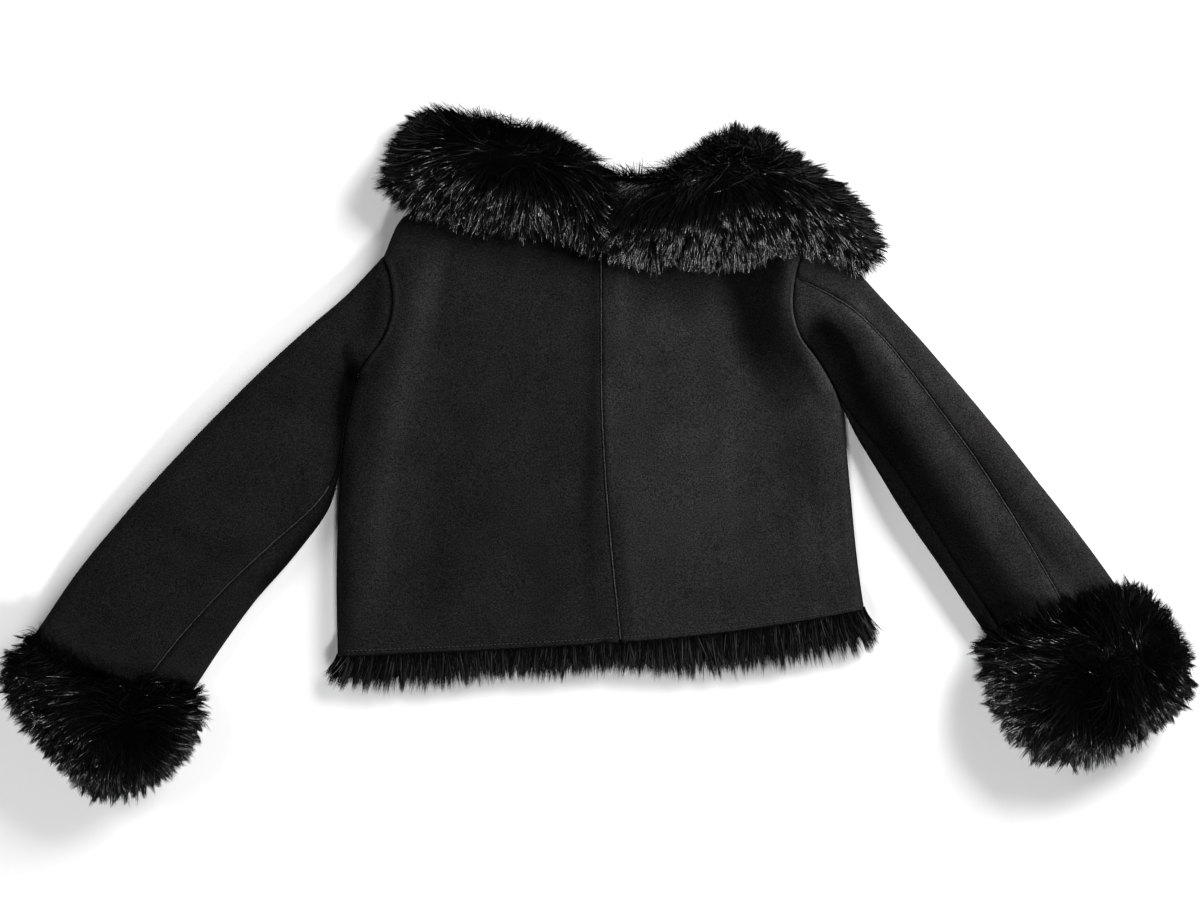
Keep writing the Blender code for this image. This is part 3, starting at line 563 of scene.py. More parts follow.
def wall_faces(rows: int, columns: int, ring: bool = False) -> Faces:
    """Faces of a closed wall between two grids of points.

    Args:
        rows: rows of each grid.
        columns: columns of each grid.
        ring: whether the last column joins the first.

    Returns:
        The faces, as indices into the outer points followed by the inner ones.
    """
    inner = rows * columns
    last = columns if ring else columns - 1
    faces = []
    for i in range(rows - 1):
        for j in range(last):
            a, b = i * columns + j, i * columns + (j + 1) % columns
            c, d = b + columns, a + columns
            faces += [(a, b, c, d), (inner + d, inner + c, inner + b, inner + a)]
    for j in range(last):
        a, b = j, (j + 1) % columns
        c, d = (rows - 1) * columns + j, (rows - 1) * columns + (j + 1) % columns
        faces += [(inner + a, inner + b, b, a), (c, d, inner + d, inner + c)]
    if not ring:
        for i in range(rows - 1):
            a, b = i * columns, (i + 1) * columns
            c, d = a + columns - 1, b + columns - 1
            faces += [(a, b, inner + b, inner + a), (inner + d, d, c, inner + c)]
    return faces


def tube_faces(first: int, rings: int, around: int) -> Faces:
    """Faces of a closed tube.

    Args:
        first: index of its first point.
        rings: how many rings of points it has.
        around: points of a ring.

    Returns:
        The faces of its side and its two ends.
    """
    faces = []
    for i in range(rings - 1):
        for k in range(around):
            a, b = first + i * around + k, first + i * around + (k + 1) % around
            faces.append((a, b, b + around, a + around))
    last = first + (rings - 1) * around
    return faces + [tuple(range(first + around - 1, first - 1, -1)), tuple(range(last, last + around))]


def add_mesh(name: str, points: Points, faces: Faces, material: bpy.types.Material) -> bpy.types.Object:
    """Adds a smooth mesh object.

    Args:
        name: its name.
        points: its points in millimetres.
        faces: its faces.
        material: its material.

    Returns:
        The object.
    """
    mesh = bpy.data.meshes.new(name)
    mesh.from_pydata((np.asarray(points) * MM).tolist(), [], faces)
    mesh.shade_smooth()
    mesh.materials.append(material)
    obj = bpy.data.objects.new(name, mesh)
    bpy.context.scene.collection.objects.link(obj)
    return obj


def face_out(obj: bpy.types.Object) -> None:
    """Turns a closed mesh's faces out where they face in."""
    points = np.array([v.co for v in obj.data.vertices])
    volume = 0.0
    for face in obj.data.polygons:
        corners = points[list(face.vertices)]
        for k in range(1, len(corners) - 1):
            volume += np.dot(corners[0], np.cross(corners[k], corners[k + 1]))
    if volume < 0:
        obj.data.flip_normals()


def add_attribute(obj: bpy.types.Object, name: str, values: np.ndarray) -> None:
    """Stores a number on each point of a mesh, for its material."""
    attribute = obj.data.attributes.new(name, "FLOAT", "POINT")
    attribute.data.foreach_set("value", np.asarray(values, np.float32))


# --- finishes ---


class Nodes:
    """A material's node tree, with short calls to add nodes and links."""

    def __init__(self, name: str) -> None:
        """Makes a material with an empty shader."""
        self.material = bpy.data.materials.new(name)
        self.material.use_nodes = True
        self.tree = self.material.node_tree
        self.shader = self.tree.nodes["Principled BSDF"]

    def add(self, kind: str, **inputs: object) -> bpy.types.Node:
        """Adds a node and sets its inputs, given by name with _ for a space."""
        node = self.tree.nodes.new(kind)
        for name, value in inputs.items():
            node.inputs[name.replace("_", " ")].default_value = value
        return node

    def link(self, output: bpy.types.NodeSocket, into: bpy.types.NodeSocket) -> None:
        """Links an output to an input."""
        self.tree.links.new(output, into)

    def surface(self, **inputs: object) -> None:
        """Sets or links the shader's inputs, given by name with _ for a space."""
        for name, value in inputs.items():
            into = self.shader.inputs[name.replace("_", " ")]
            if isinstance(value, bpy.types.NodeSocket):
                self.link(value, into)
            else:
                into.default_value = value

    def place(self, kind: str = "Object") -> bpy.types.NodeSocket:
        """Adds the places of a surface's points, in the object's frame or in its UV map."""
        return self.add("ShaderNodeTexCoord").outputs[kind]

    def stored(self, name: str, kind: str) -> bpy.types.NodeSocket:
        """Adds what a mesh stores on its points under a name, as its "Fac" or its "Color"."""
        node = self.tree.nodes.new("ShaderNodeAttribute")
        node.attribute_name = name
        return node.outputs[kind]

    def noise(self, coordinates: bpy.types.NodeSocket, scale: float, detail: float,
              roughness: float = 0.5) -> bpy.types.NodeSocket:
        """Adds a noise texture.

        Args:
            coordinates: where it is read.
            scale: features to a metre.
            detail: octaves.
            roughness: how strong the finer octaves are.

        Returns:
            Its value.
        """
        node = self.add("ShaderNodeTexNoise", Scale=scale, Detail=detail, Roughness=roughness)
        self.link(coordinates, node.inputs["Vector"])
        return node.outputs["Fac"]

    def ramp(self, value: bpy.types.NodeSocket, stops: list[tuple[float, float]]) -> bpy.types.NodeSocket:
        """Maps a value to a grey through a ramp.

        Args:
            value: the value.
            stops: each stop's place and grey.

        Returns:
            The grey.
        """
        node = self.tree.nodes.new("ShaderNodeValToRGB")
        for element, (place, grey) in zip(node.color_ramp.elements, (stops[0], stops[-1])):
            element.position = place
            element.color = (grey, grey, grey, 1.0)
        for place, grey in stops[1:-1]:
            element = node.color_ramp.elements.new(place)
            element.color = (grey, grey, grey, 1.0)
        self.link(value, node.inputs["Fac"])
        return node.outputs["Color"]

    def mix(self, kind: str, factor: object, a: object, b: object) -> bpy.types.NodeSocket:
        """Mixes two colours.

        Args:
            kind: the way of mixing, as Blender names it.
            factor: an output or a number.
            a: an output or a colour.
            b: an output or a colour.

        Returns:
            The mixed colour.
        """
        node = self.tree.nodes.new("ShaderNodeMix")
        node.data_type = "RGBA"
        node.blend_type = kind
        for value, into in ((factor, node.inputs[0]), (a, node.inputs[6]), (b, node.inputs[7])):
            if isinstance(value, bpy.types.NodeSocket):
                self.link(value, into)
            else:
                into.default_value = value
        return node.outputs[2]

    def bump(self, height: bpy.types.NodeSocket, distance: float, strength: float,
             under: bpy.types.NodeSocket | None = None) -> bpy.types.NodeSocket:
        """Adds a bump.

        Args:
            height: its height.
            distance: metres that a height of 1 stands for.
            strength: its strength.
            under: a coarser bump that it lies on.

        Returns:
            The bumped normal.
        """
        node = self.add("ShaderNodeBump", Distance=distance, Strength=strength)
        self.link(height, node.inputs["Height"])
        if under is not None:
            self.link(under, node.inputs["Normal"])
        return node.outputs["Normal"]


MATTE = 0.02  # the specular level of what has no gloss


@dataclass(frozen=True)
class SuedeFinish:
    """Matte black suede with a short brushed nap, painted light and shade, and painted highlights on seam
    edges.

    Attributes:
        deep: the grey where the nap lies down.
        pale: the grey where it stands.
        highlight_grey: the grey of a painted highlight along a raised seam edge.
        roughness: of the shader.
        sheen: of the nap.
        tint: how warm its black is.
        sheen_tint: the colour of its sheen.
        brush_scale: brushed patches to a metre.
        soft_scale: soft dents to a metre.
        speck_scale: specks of the nap to a metre.
        grain_scale: grains of the nap to a metre.
    """

    deep: float = 0.0115
    pale: float = 0.0165
    highlight_grey: float = 0.03
    roughness: float = 0.95
    sheen: float = 0.006
    tint: tuple[float, float, float, float] = (1.015, 0.978, 0.985, 1.0)
    sheen_tint: tuple[float, float, float, float] = (0.75, 0.76, 0.8, 1.0)
    brush_scale: float = 26.0
    soft_scale: float = 120.0
    speck_scale: float = 720.0
    grain_scale: float = 1400.0

    def material(self, name: str) -> bpy.types.Material:
        """Makes the material, which reads the painted light and shade with the nap, and the painted
        highlight, from the mesh.

        Args:
            name: its name.

        Returns:
            The material.
        """
        nodes = Nodes(name)
        place = nodes.place()
        brushed = nodes.noise(place, self.brush_scale, 4.0, 0.62)
        specks = nodes.noise(place, self.speck_scale, 2.0, 0.7)
        grain = nodes.noise(place, self.grain_scale, 2.0, 0.7)
        middle = (self.deep + self.pale) / 2
        nap = nodes.ramp(brushed, [(0.3, self.deep), (0.52, middle), (0.72, self.pale)])
        speckled = nodes.mix("MULTIPLY", 1.0, nap, nodes.ramp(specks, [(0.37, 0.48), (0.63, 1.62)]))
        grained = nodes.mix("MULTIPLY", 1.0, speckled, nodes.ramp(grain, [(0.36, 0.5), (0.64, 1.6)]))
        highlight_grey = (self.highlight_grey, self.highlight_grey, self.highlight_grey, 1.0)
        warm = nodes.mix("MULTIPLY", 1.0, grained, self.tint)
        # Times the mesh's factor of painted light and shade, painted falloff and brushed nap.
        nap_with_painted_light = nodes.mix("MULTIPLY", 1.0, warm, nodes.stored("nap", "Color"))
        # Paler where the mesh stores a painted highlight along a raised seam edge.
        colour = nodes.mix("MIX", nodes.stored("wear", "Fac"), nap_with_painted_light, highlight_grey)
        soft = nodes.bump(nodes.noise(place, self.soft_scale, 3.0), 0.0005, 0.35)
        fine = nodes.bump(specks, 0.0004, 0.5, soft)
        nodes.surface(Base_Color=colour, Normal=fine, Roughness=self.roughness, Specular_IOR_Level=MATTE,
                      Sheen_Weight=self.sheen, Sheen_Roughness=0.5, Sheen_Tint=self.sheen_tint)
        return nodes.material


@dataclass(frozen=True)
class HairFinish:
    """Black hair, painted darkest at its roots as shade deep in the fur and paler towards its tips, with a
    gloss that differs from hair to hair.

    Attributes:
        root: the grey at the roots.
        tip: the grey at the tips.
        low_gloss: roughness of the shiniest hair.
        high_gloss: roughness of the dullest.
        specular: the shader's specular level.
    """

    root: float
    tip: float
    low_gloss: float
    high_gloss: float
    specular: float

    def material(self, name: str) -> bpy.types.Material:
        """Makes the material, which reads each hair's own number and its length from the UV map.

        Args:
            name: its name.

        Returns:
            The material.
        """
        nodes = Nodes(name)
        split = nodes.add("ShaderNodeSeparateXYZ")
        nodes.link(nodes.place("UV"), split.inputs["Vector"])
        own, along = split.outputs["X"], split.outputs["Y"]
        # Painted shade at the roots, paler towards the tips; in the wool's guard hairs the pale tips and
        # paler hairs are partly painted highlight, partly the wool's own paler tips.
        grey = nodes.ramp(along, [(0.0, self.root), (0.35, (self.root + self.tip) / 2), (1.0, self.tip)])
        shade = nodes.ramp(own, [(0.0, 0.1), (0.6, 0.3), (1.0, 1.0)])
        varied = nodes.mix("MULTIPLY", 1.0, grey, shade)
        gloss = nodes.ramp(own, [(0.0, self.high_gloss), (1.0, self.low_gloss)])
        nodes.surface(Base_Color=varied, Roughness=gloss, Specular_IOR_Level=self.specular)
        return nodes.material


@dataclass(frozen=True)
class BaseFinish:
    """The dark underfur that shows between the locks.

    Attributes:
        grey: its palest grey.
        tangle_scale: tufts to a metre.
    """

    grey: float = 0.0012
    tangle_scale: float = 700.0

    def material(self, name: str) -> bpy.types.Material:
        """Makes the material.

        Args:
            name: its name.

        Returns:
            The material.
        """
        nodes = Nodes(name)
        tangle = nodes.noise(nodes.place(), self.tangle_scale, 3.0, 0.7)
        colour = nodes.ramp(tangle, [(0.35, self.grey * 0.4), (0.7, self.grey)])
        nodes.surface(Base_Color=colour, Normal=nodes.bump(tangle, 0.002, 0.8), Roughness=0.9,
                      Specular_IOR_Level=MATTE)
        return nodes.material


@dataclass(frozen=True)
class ThreadFinish:
    """Black sewing thread with a slight gloss and a twist.

    Attributes:
        grey: its mean grey.
        twist_scale: turns of its strands to a metre.
    """

    grey: float = 0.022
    twist_scale: float = 4000.0

    def material(self, name: str) -> bpy.types.Material:
        """Makes the material.

        Args:
            name: its name.

        Returns:
            The material.
        """
        nodes = Nodes(name)
        twist = nodes.noise(nodes.place(), self.twist_scale, 1.0)
        colour = nodes.ramp(twist, [(0.3, self.grey * 0.6), (0.7, self.grey * 1.5)])
        nodes.surface(Base_Color=colour, Roughness=0.5)
        return nodes.material


SUEDE = SuedeFinish()
# Paler suede for seam edges: a painted highlight of the raised edge.
SEAM_HIGHLIGHT = SuedeFinish(deep=0.022, pale=0.04)
CUT_EDGE = SuedeFinish(deep=0.0012, pale=0.003)
LONG_FUR = (HairFinish(root=0.0003, tip=0.0012, low_gloss=0.5, high_gloss=0.7, specular=0.1),
            HairFinish(root=0.0003, tip=0.0022, low_gloss=0.2, high_gloss=0.3, specular=1.0))
# The guard hairs' pale tips are partly painted highlight, partly the wool's own paler tips.
WOOL = (HairFinish(root=0.001, tip=0.007, low_gloss=0.5, high_gloss=0.7, specular=0.1),
        HairFinish(root=0.006, tip=0.075, low_gloss=0.26, high_gloss=0.4, specular=0.6))
GUARD_WIDTH = 1.35  # how many times wider a guard hair is
WHORL = 16.0  # how far a whorl of the fur spreads
SKIRT_DEPTH = 6.0  # how far in from the rim the hairs start that hang down over a form's side
SKIRT_SHARE = 0.4  # the share of the hairs there that do
SKIRT_FALL = (1.2, 3.0)  # the slopes at which they fall
CREST = 0.45  # the share of its length at which a hair stands off most
LOCK_SIZE = (0.7, 1.25)  # a lock's length, as a share of the mean
LOCK_REACH = (0.25, 1.5)  # how far it may reach past the base, likewise
LOCK_LOFT = (0.3, 1.8)  # how far it stands off the base, likewise
LOCK_FALL = (0.5, 1.45)  # how steeply it falls, likewise
HAIR_LOFT = (0.55, 1.35)  # how far a hair stands off, as a share of its lock's
HAIR_FALL = (0.7, 1.3)  # how steeply it falls, likewise
WOOL_REACH = (0.84, 1.12)  # the length of a lock of wool, as a share of the table's
WOOL_DROOP = (0.3, 1.6)  # how far a hair of wool sinks, as a share of the mean
WOOL_TAPER = 8.0  # how far in from the coat's sides the wool thins out
UNDERFUR = BaseFinish()
THREAD = ThreadFinish()


# --- suede ---


class Side(Enum):
    """The picture's left or right side of the coat, with the direction out from its middle."""

    LEFT = -1.0
    RIGHT = 1.0


class Half:
    """One half of the body: its edge, armhole, shoulder and sleeve."""

    def __init__(self, side: Side) -> None:
        """Takes the tables of one side."""
        self.side = side
        self.out = side.value
        left = side is Side.LEFT
        self.word = side.name.lower()
        self.armhole = np.array(LEFT_ARMHOLE if left else RIGHT_ARMHOLE)
        self.shoulder = LEFT_SHOULDER if left else RIGHT_SHOULDER
        self.sleeve = LEFT_SLEEVE if left else RIGHT_SLEEVE
        self.edge_column = 0 if left else 4
        self.sag_column = 6 if left else 7

    def below_arm(self, across: np.ndarray, up: np.ndarray) -> np.ndarray:
        """Plan points between the side edge and the centre seam, from the hem to the underarm.

        Args:
            across: from 0 at the side edge to 1 at the seam.
            up: from 0 at the hem to 1 at the underarm.

        Returns:
            The points, as (x, y) in the last dimension.
        """
        row = smooth(BODY, up)
        side = row[..., self.edge_column:self.edge_column + 2]
        point = side + (row[..., 2:4] - side) * across[..., None]
        point[..., 1] -= 4 * row[..., self.sag_column] * across * (1 - across)
        return point

    def top_line(self, is_back: bool) -> list[tuple[float, float]]:
        """The shoulder line and half of the neckline of a back or a front."""
        neck_x, neck_y = BACK_NECK if is_back else FRONT_NECK
        middle = neck_y + (2.0 if is_back else FRONT_NECK_RISE)
        return self.shoulder + [(neck_x + self.out * BACK_NECK_HALF, middle), (neck_x, neck_y)]

    def beside_arm(self, across: np.ndarray, up: np.ndarray, is_back: bool) -> np.ndarray:
        """Plan points above the underarm, blended from the four lines round this part of a panel.

        Args:
            across: from 0 at the armhole to 1 at the centre seam.
            up: from 0 at the underarm to 1 at the shoulder.
            is_back: whether the panel is a back.

        Returns:
            The points, as (x, y) in the last dimension.
        """
        one = np.ones(1)
        underarm, seam_low = self.armhole[-1], self.below_arm(one, one)[0]
        top = self.top_line(is_back)
        top_start, seam_high = np.array(top[0]), np.array(top[-1])
        side = smooth(self.armhole, 1 - up)
        a, u = across[..., None], up[..., None]
        seam = seam_low + (seam_high - seam_low) * u
        low = underarm + (seam_low - underarm) * a
        high = smooth(top, across)
        corners = ((1 - a) * (1 - u) * underarm + a * (1 - u) * seam_low
                   + (1 - a) * u * top_start + a * u * seam_high)
        return (1 - a) * side + a * seam + (1 - u) * low + u * high - corners


@dataclass
class Shell:
    """A thin shell of suede: a grid of outer points, with the skin's thickness behind it.

    Attributes:
        name: of the object.
        nodes: the nodes that it replaces.
        grid: its outer points, rows by columns by 3.
        inward: 1 or -1, the side of the grid's normals that faces into the coat.
        wear: how much painted highlight each point has along raised seam edges, from 0 to 1.
        nap: how pale the suede is at each point, from its grey, painted falloff, painted light and shade,
            and brushed nap.
        flat: width and length of its cut, in metres; not used.
        area: area of its cut, in square metres; not used.
        rests_on: the nodes that it lies on; not used.
    """

    name: str
    nodes: tuple[str, ...]
    grid: Points
    inward: float
    wear: np.ndarray
    nap: np.ndarray
    flat: tuple[float, float]
    area: float
    rests_on: tuple[str, ...]

    def build(self) -> bpy.types.Object:
        """Returns:
            The object.
        """
        normals = grid_normals(self.grid) * self.inward
        inner = self.grid + normals * SKIN
        rows, columns = self.grid.shape[:2]
        points = np.concatenate([self.grid.reshape(-1, 3), inner.reshape(-1, 3)])
        obj = add_mesh(self.name, points, wall_faces(rows, columns), SUEDE.material("suede_" + self.name))
        face_out(obj)
        # A painted highlight along raised seam edges, none on the shell's inner side.
        add_attribute(obj, "wear", np.concatenate([self.wear.reshape(-1), self.wear.reshape(-1) * 0]))
        # A factor of painted light and shade, painted falloff and brushed nap, the same on both sides of the
        # shell.
        add_attribute(obj, "nap", np.tile(self.nap.reshape(-1), 2))
        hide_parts(*self.nodes)
        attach(obj, "root")
        list(self.rests_on)
        LOG.info("%s: %d faces", self.name, len(obj.data.polygons))
        return obj


@dataclass
class BodyPanel:
    """A back or a front panel.

    Attributes:
        half: which half of the coat.
        is_back: whether it is a back.
        spacing: between its points.
        flat: width and length of its cut, in metres.
        area: area of its cut, in square metres.
        groove: depth of the groove at its seams.
        groove_width: how far out a groove falls away.
        welt: height of the raised line beside a seam, at the centre on the right panel only.
        welt_place: how far that line is from the centre seam.
        welt_width: how far out it falls away.
        arm_welt_place: how far the line beside the armhole is from it.
        arm_highlight_place: how far from the armhole its painted highlight is strongest.
        arm_welt_width: how far out both fall away.
        arm_wear: how strong that painted highlight is.
        arm_share: its width beside the armhole, as a share of its width below it.
        above_arm: the length above the underarm by which its rows there are spaced.
        side_shade: how much darker its side is below the underarm.
        side_width: how far in from the side that reaches.
    """

    half: Half
    is_back: bool
    spacing: float
    flat: tuple[float, float]
    area: float
    groove: float = 1.5
    groove_width: float = 1.7
    welt: float = 0.9
    welt_place: float = 2.4
    welt_width: float = 1.3
    arm_welt_place: float = 4.0
    arm_highlight_place: float = 3.6
    arm_welt_width: float = 2.6
    arm_wear: float = 0.12
    arm_share: float = 0.85
    above_arm: float = 190.0
    side_shade: float = 0.8
    side_width: float = 1.8

    def height(self, point: np.ndarray, rise: np.ndarray, to_seam: np.ndarray,
               to_armhole: np.ndarray) -> np.ndarray:
        """Heights of the panel's outer side.

        Args:
            point: plan points.
            rise: share of the full rise at each.
            to_seam: how far each is from the centre seam.
            to_armhole: how far each is from the armhole.

        Returns:
            The heights.
        """
        middle, part = BODY_HEIGHT / 2, SEAM_GAP / 2
        x, y = point[..., 0], point[..., 1]
        if not self.is_back:
            return (middle - part) * (1 - rise) + relief_of(UNDERSIDE_CREASES, x, y) * rise
        relief = relief_of(FOLDS + TOP_CREASES, x, y) + slack(x, y)
        relief -= self.groove * bell(to_seam, self.groove_width)
        if self.half.side is Side.RIGHT:
            relief += self.welt * bell(to_seam - self.welt_place, self.welt_width)
        relief -= self.groove * bell(to_armhole, self.groove_width)
        relief += self.welt * bell(to_armhole - self.arm_welt_place, self.arm_welt_width)
        return middle + part + (BODY_HEIGHT - middle - part + relief) * rise

    def build(self) -> bpy.types.Object:
        """Builds the panel from rows of points, from the hem up.

        Returns:
            The object.
        """
        half = self.half
        width = abs(BODY[0].left_x)
        below = turned_places(BELOW_ARM, self.spacing, False, False)[:-1]
        arm_length = math.dist(half.armhole[0], half.armhole[-1])
        above = turned_places(arm_length, self.spacing * arm_length / self.above_arm, True, True)
        across = turned_places(width, self.spacing, True, False)
        ups = np.concatenate([below, above])[:, None] * np.ones(len(across))
        columns = np.ones(len(below) + len(above))[:, None] * across
        is_above = np.concatenate([np.zeros(len(below)), np.ones(len(above))])[:, None] > 0.5
        low = half.below_arm(columns, ups)
        high = half.beside_arm(columns, ups, self.is_back)
        point = np.where(is_above[..., None], high, low)
        side_rise = np.where(is_above, edge_rise(ups * arm_length), 0.0)
        top_rise = np.where(is_above, edge_rise((1 - ups) * arm_length), 1.0)
        rise = (side_rise + (1 - side_rise) * edge_rise(columns * width)) * top_rise
        from_underarm = np.hypot(point[..., 0] - half.armhole[-1][0], point[..., 1] - half.armhole[-1][1])
        point[..., 0] -= half.out * UNDERARM_EASE * bell(from_underarm, UNDERARM_REACH)
        point[..., 0] -= half.out * ARMHOLE_EASE * (1 - columns)
        point[..., 0] += half.out * (SEAM_GAP / 2) * columns
        to_seam = (1 - columns) * width
        to_armhole = np.where(is_above, columns * width * self.arm_share, FAR)
        z = self.height(point, rise, to_seam, to_armhole)
        grid = np.concatenate([point, z[..., None]], axis=-1)
        name = ("back_" if self.is_back else "front_") + half.word
        # A painted highlight along the raised line beside the armhole.
        wear = self.arm_wear * bell(to_armhole - self.arm_highlight_place, self.arm_welt_width)
        # The panel's grey, partly its skin's tone, partly painted shade where the light falls off to the
        # left.
        skin_and_falloff = SKIN_TONE_AND_PAINTED_FALLOFF["back_" + half.word]
        # Painted light and shade from the strokes on the backs, and painted shade along the rounded side
        # below the underarm.
        nap = painted_light_of(skin_and_falloff, BODY_PAINTED_LIGHT_AND_NAP if self.is_back else [], point[..., 0], point[..., 1])
        nap *= np.where(is_above, 1.0, 1 - self.side_shade * bell(columns * width, self.side_width))
        inward = half.out * (1.0 if self.is_back else -1.0)
        rests_on = ("front_" + half.word,) if self.is_back else ()
        shell = Shell(name + "_suede", (name,), grid, inward, wear, nap, self.flat, self.area, rests_on)
        return shell.build()


@dataclass
class SleevePiece:
    """One of the two pieces of a sleeve, between its seams.

    Attributes:
        half: which sleeve.
        name: the node that it replaces.
        start: the seam it starts at, as a column of SleeveRow and turns to add to it.
        end: the seam it ends at.
        spacing: between its points.
        flat: width and length of its cut, in metres.
        area: area of its cut, in square metres.
        raised: whether its start seam's edge lies on top as a raised line, and its end seam's.
        outer_length: the length by which its rows are spaced.
        half_round: length of the sleeve's section over its top, by which its columns are spaced.
        least_round: the same where the sleeve is narrow, by which its seams part.
        groove: depth of the groove at a seam.
        groove_width: how far out it falls away.
        welt: height of a raised line.
        welt_place: how far it is from the seam.
        wear: how strong the painted highlight along a raised line is.
        highlight_place: how far from the seam that painted highlight is strongest.
        welt_width: how far out both fall away.
        arm_groove: depth and width of the groove at the armhole.
        arm_dip: depth and width of the wide dip beside it.
    """

    half: Half
    name: str
    start: tuple[int, float]
    end: tuple[int, float]
    spacing: float
    flat: tuple[float, float]
    area: float
    raised: tuple[bool, bool]
    outer_length: float = 425.0
    half_round: float = 155.0
    least_round: float = 140.0
    groove: float = 1.4
    groove_width: float = 1.2
    welt: float = 1.1
    welt_place: float = 2.6
    wear: float = 0.2
    highlight_place: float = 2.4
    welt_width: float = 1.6
    arm_groove: tuple[float, float] = (2.2, 3.2)
    arm_dip: tuple[float, float] = (0.8, 14.0)

    def surface(self, along: np.ndarray, place: np.ndarray, seam_relief: np.ndarray) -> Points:
        """Points on the outside of the sleeve.

        Args:
            along: from 0 at the armhole to 1 at the cuff.
            place: places round the section, 0 to 1 over the top and 1 to 2 back underneath.
            seam_relief: height to add at each.

        Returns:
            The points.
        """
        half = self.half
        row = smooth(half.sleeve, along)
        start, end = row[..., 0:2], row[..., 2:4]
        width = np.hypot(*(np.moveaxis(end - start, -1, 0)))
        turn = place % 2
        upper = turn <= 1
        share, rise = half_section(width, EDGE_RADIUS, np.where(upper, turn, 2 - turn))
        s = share[..., None]
        point = start + (end - start) * s
        toward = np.stack([half.out * np.abs((end - start)[..., 1]), -np.abs((end - start)[..., 0])], -1)
        point = point + toward / width[..., None] * (row[..., 4] * 4 * share * (1 - share))[..., None]
        head = np.maximum(1 - along / SLEEVE_HEAD, 0.0)
        straight = half.armhole[0] + (half.armhole[-1] - half.armhole[0]) * s
        bend = (head ** (BEND_POWER + BEND_POWER_GAIN * share ** 4))[..., None]
        point = point + bend * (smooth(half.armhole, share) - straight)
        point[..., 0] += half.out * ARMHOLE_EASE
        crown = 1 - SLEEVE_CROWN * (1 - head ** 2) * (2 * share - 1) ** 2
        middle = row[..., 5] / 2
        x, y = point[..., 0], point[..., 1]
        height = middle + (row[..., 5] - middle) * crown
        to_body = along * SLEEVE_LENGTH
        relief = relief_of(FOLDS + TOP_CREASES + SLEEVE_TROUGHS, x, y) + slack(x, y) + seam_relief
        for depth, reach in (self.arm_groove, self.arm_dip):
            relief = relief - depth * bell(to_body, reach)
        top = middle + (height - middle + relief) * rise
        low = middle * (1 - rise) + relief_of(UNDERSIDE_CREASES, x, y) * rise
        return np.stack([x, y, np.where(upper, top, low)], -1)

    def seam(self, first: float, last: float, column: int) -> Points:
        """Plan points along one of its seams.

        Args:
            first: where along the sleeve it starts.
            last: where it ends.
            column: the seam, as a column of SleeveRow.

        Returns:
            The points.
        """
        along = np.linspace(first, last, 120)
        place = smooth(self.half.sleeve, along)[:, column]
        return self.surface(along, place, np.zeros(along.shape))[:, :2]

    def build(self) -> bpy.types.Object:
        """Builds the piece from rows of points, from the armhole to the cuff.

        Returns:
            The object.
        """
        rows = round(self.outer_length / self.spacing)
        along = np.linspace(0.0, 1.0, rows + 1) ** 1.1
        table = smooth(self.half.sleeve, along)
        first = table[:, self.start[0]] + self.start[1]
        last = table[:, self.end[0]] + self.end[1]
        columns = round(float((last - first).mean()) * self.half_round / self.spacing)
        share = np.linspace(0.0, 1.0, columns + 1)
        place = first[:, None] + (last - first)[:, None] * share
        gap = SEAM_GAP / 2 / self.least_round
        place[:, 0] += gap
        place[:, -1] -= gap
        from_start = (place - first[:, None]) * self.half_round
        from_end = (last[:, None] - place) * self.half_round
        relief, wear = np.zeros(place.shape), np.zeros(place.shape)
        for away, raised in ((from_start, self.raised[0]), (from_end, self.raised[1])):
            relief -= self.groove * bell(away, self.groove_width)
            if raised:
                relief += self.welt * bell(away - self.welt_place, self.welt_width)
                # A painted highlight along the raised line.
                wear += self.wear * bell(away - self.highlight_place, self.welt_width)
        grid = self.surface(along[:, None] * np.ones(place.shape), place, relief)
        inward = -self.half.out
        # The sleeve's grey, partly its skin's tone, partly painted shade where the light falls off to the
        # left.
        skin_and_falloff = SKIN_TONE_AND_PAINTED_FALLOFF["sleeve_" + self.half.word]
        # Painted light and shade from the strokes on the sleeve's top; its underside keeps the plain grey.
        nap = np.where(place % 2 <= 1, painted_light_of(skin_and_falloff, SLEEVE_PAINTED_LIGHT_AND_NAP, grid[..., 0], grid[..., 1]), skin_and_falloff)
        shell = Shell(self.name + "_suede", (self.name,), grid, inward, wear, nap, self.flat, self.area, ())
        return shell.build()


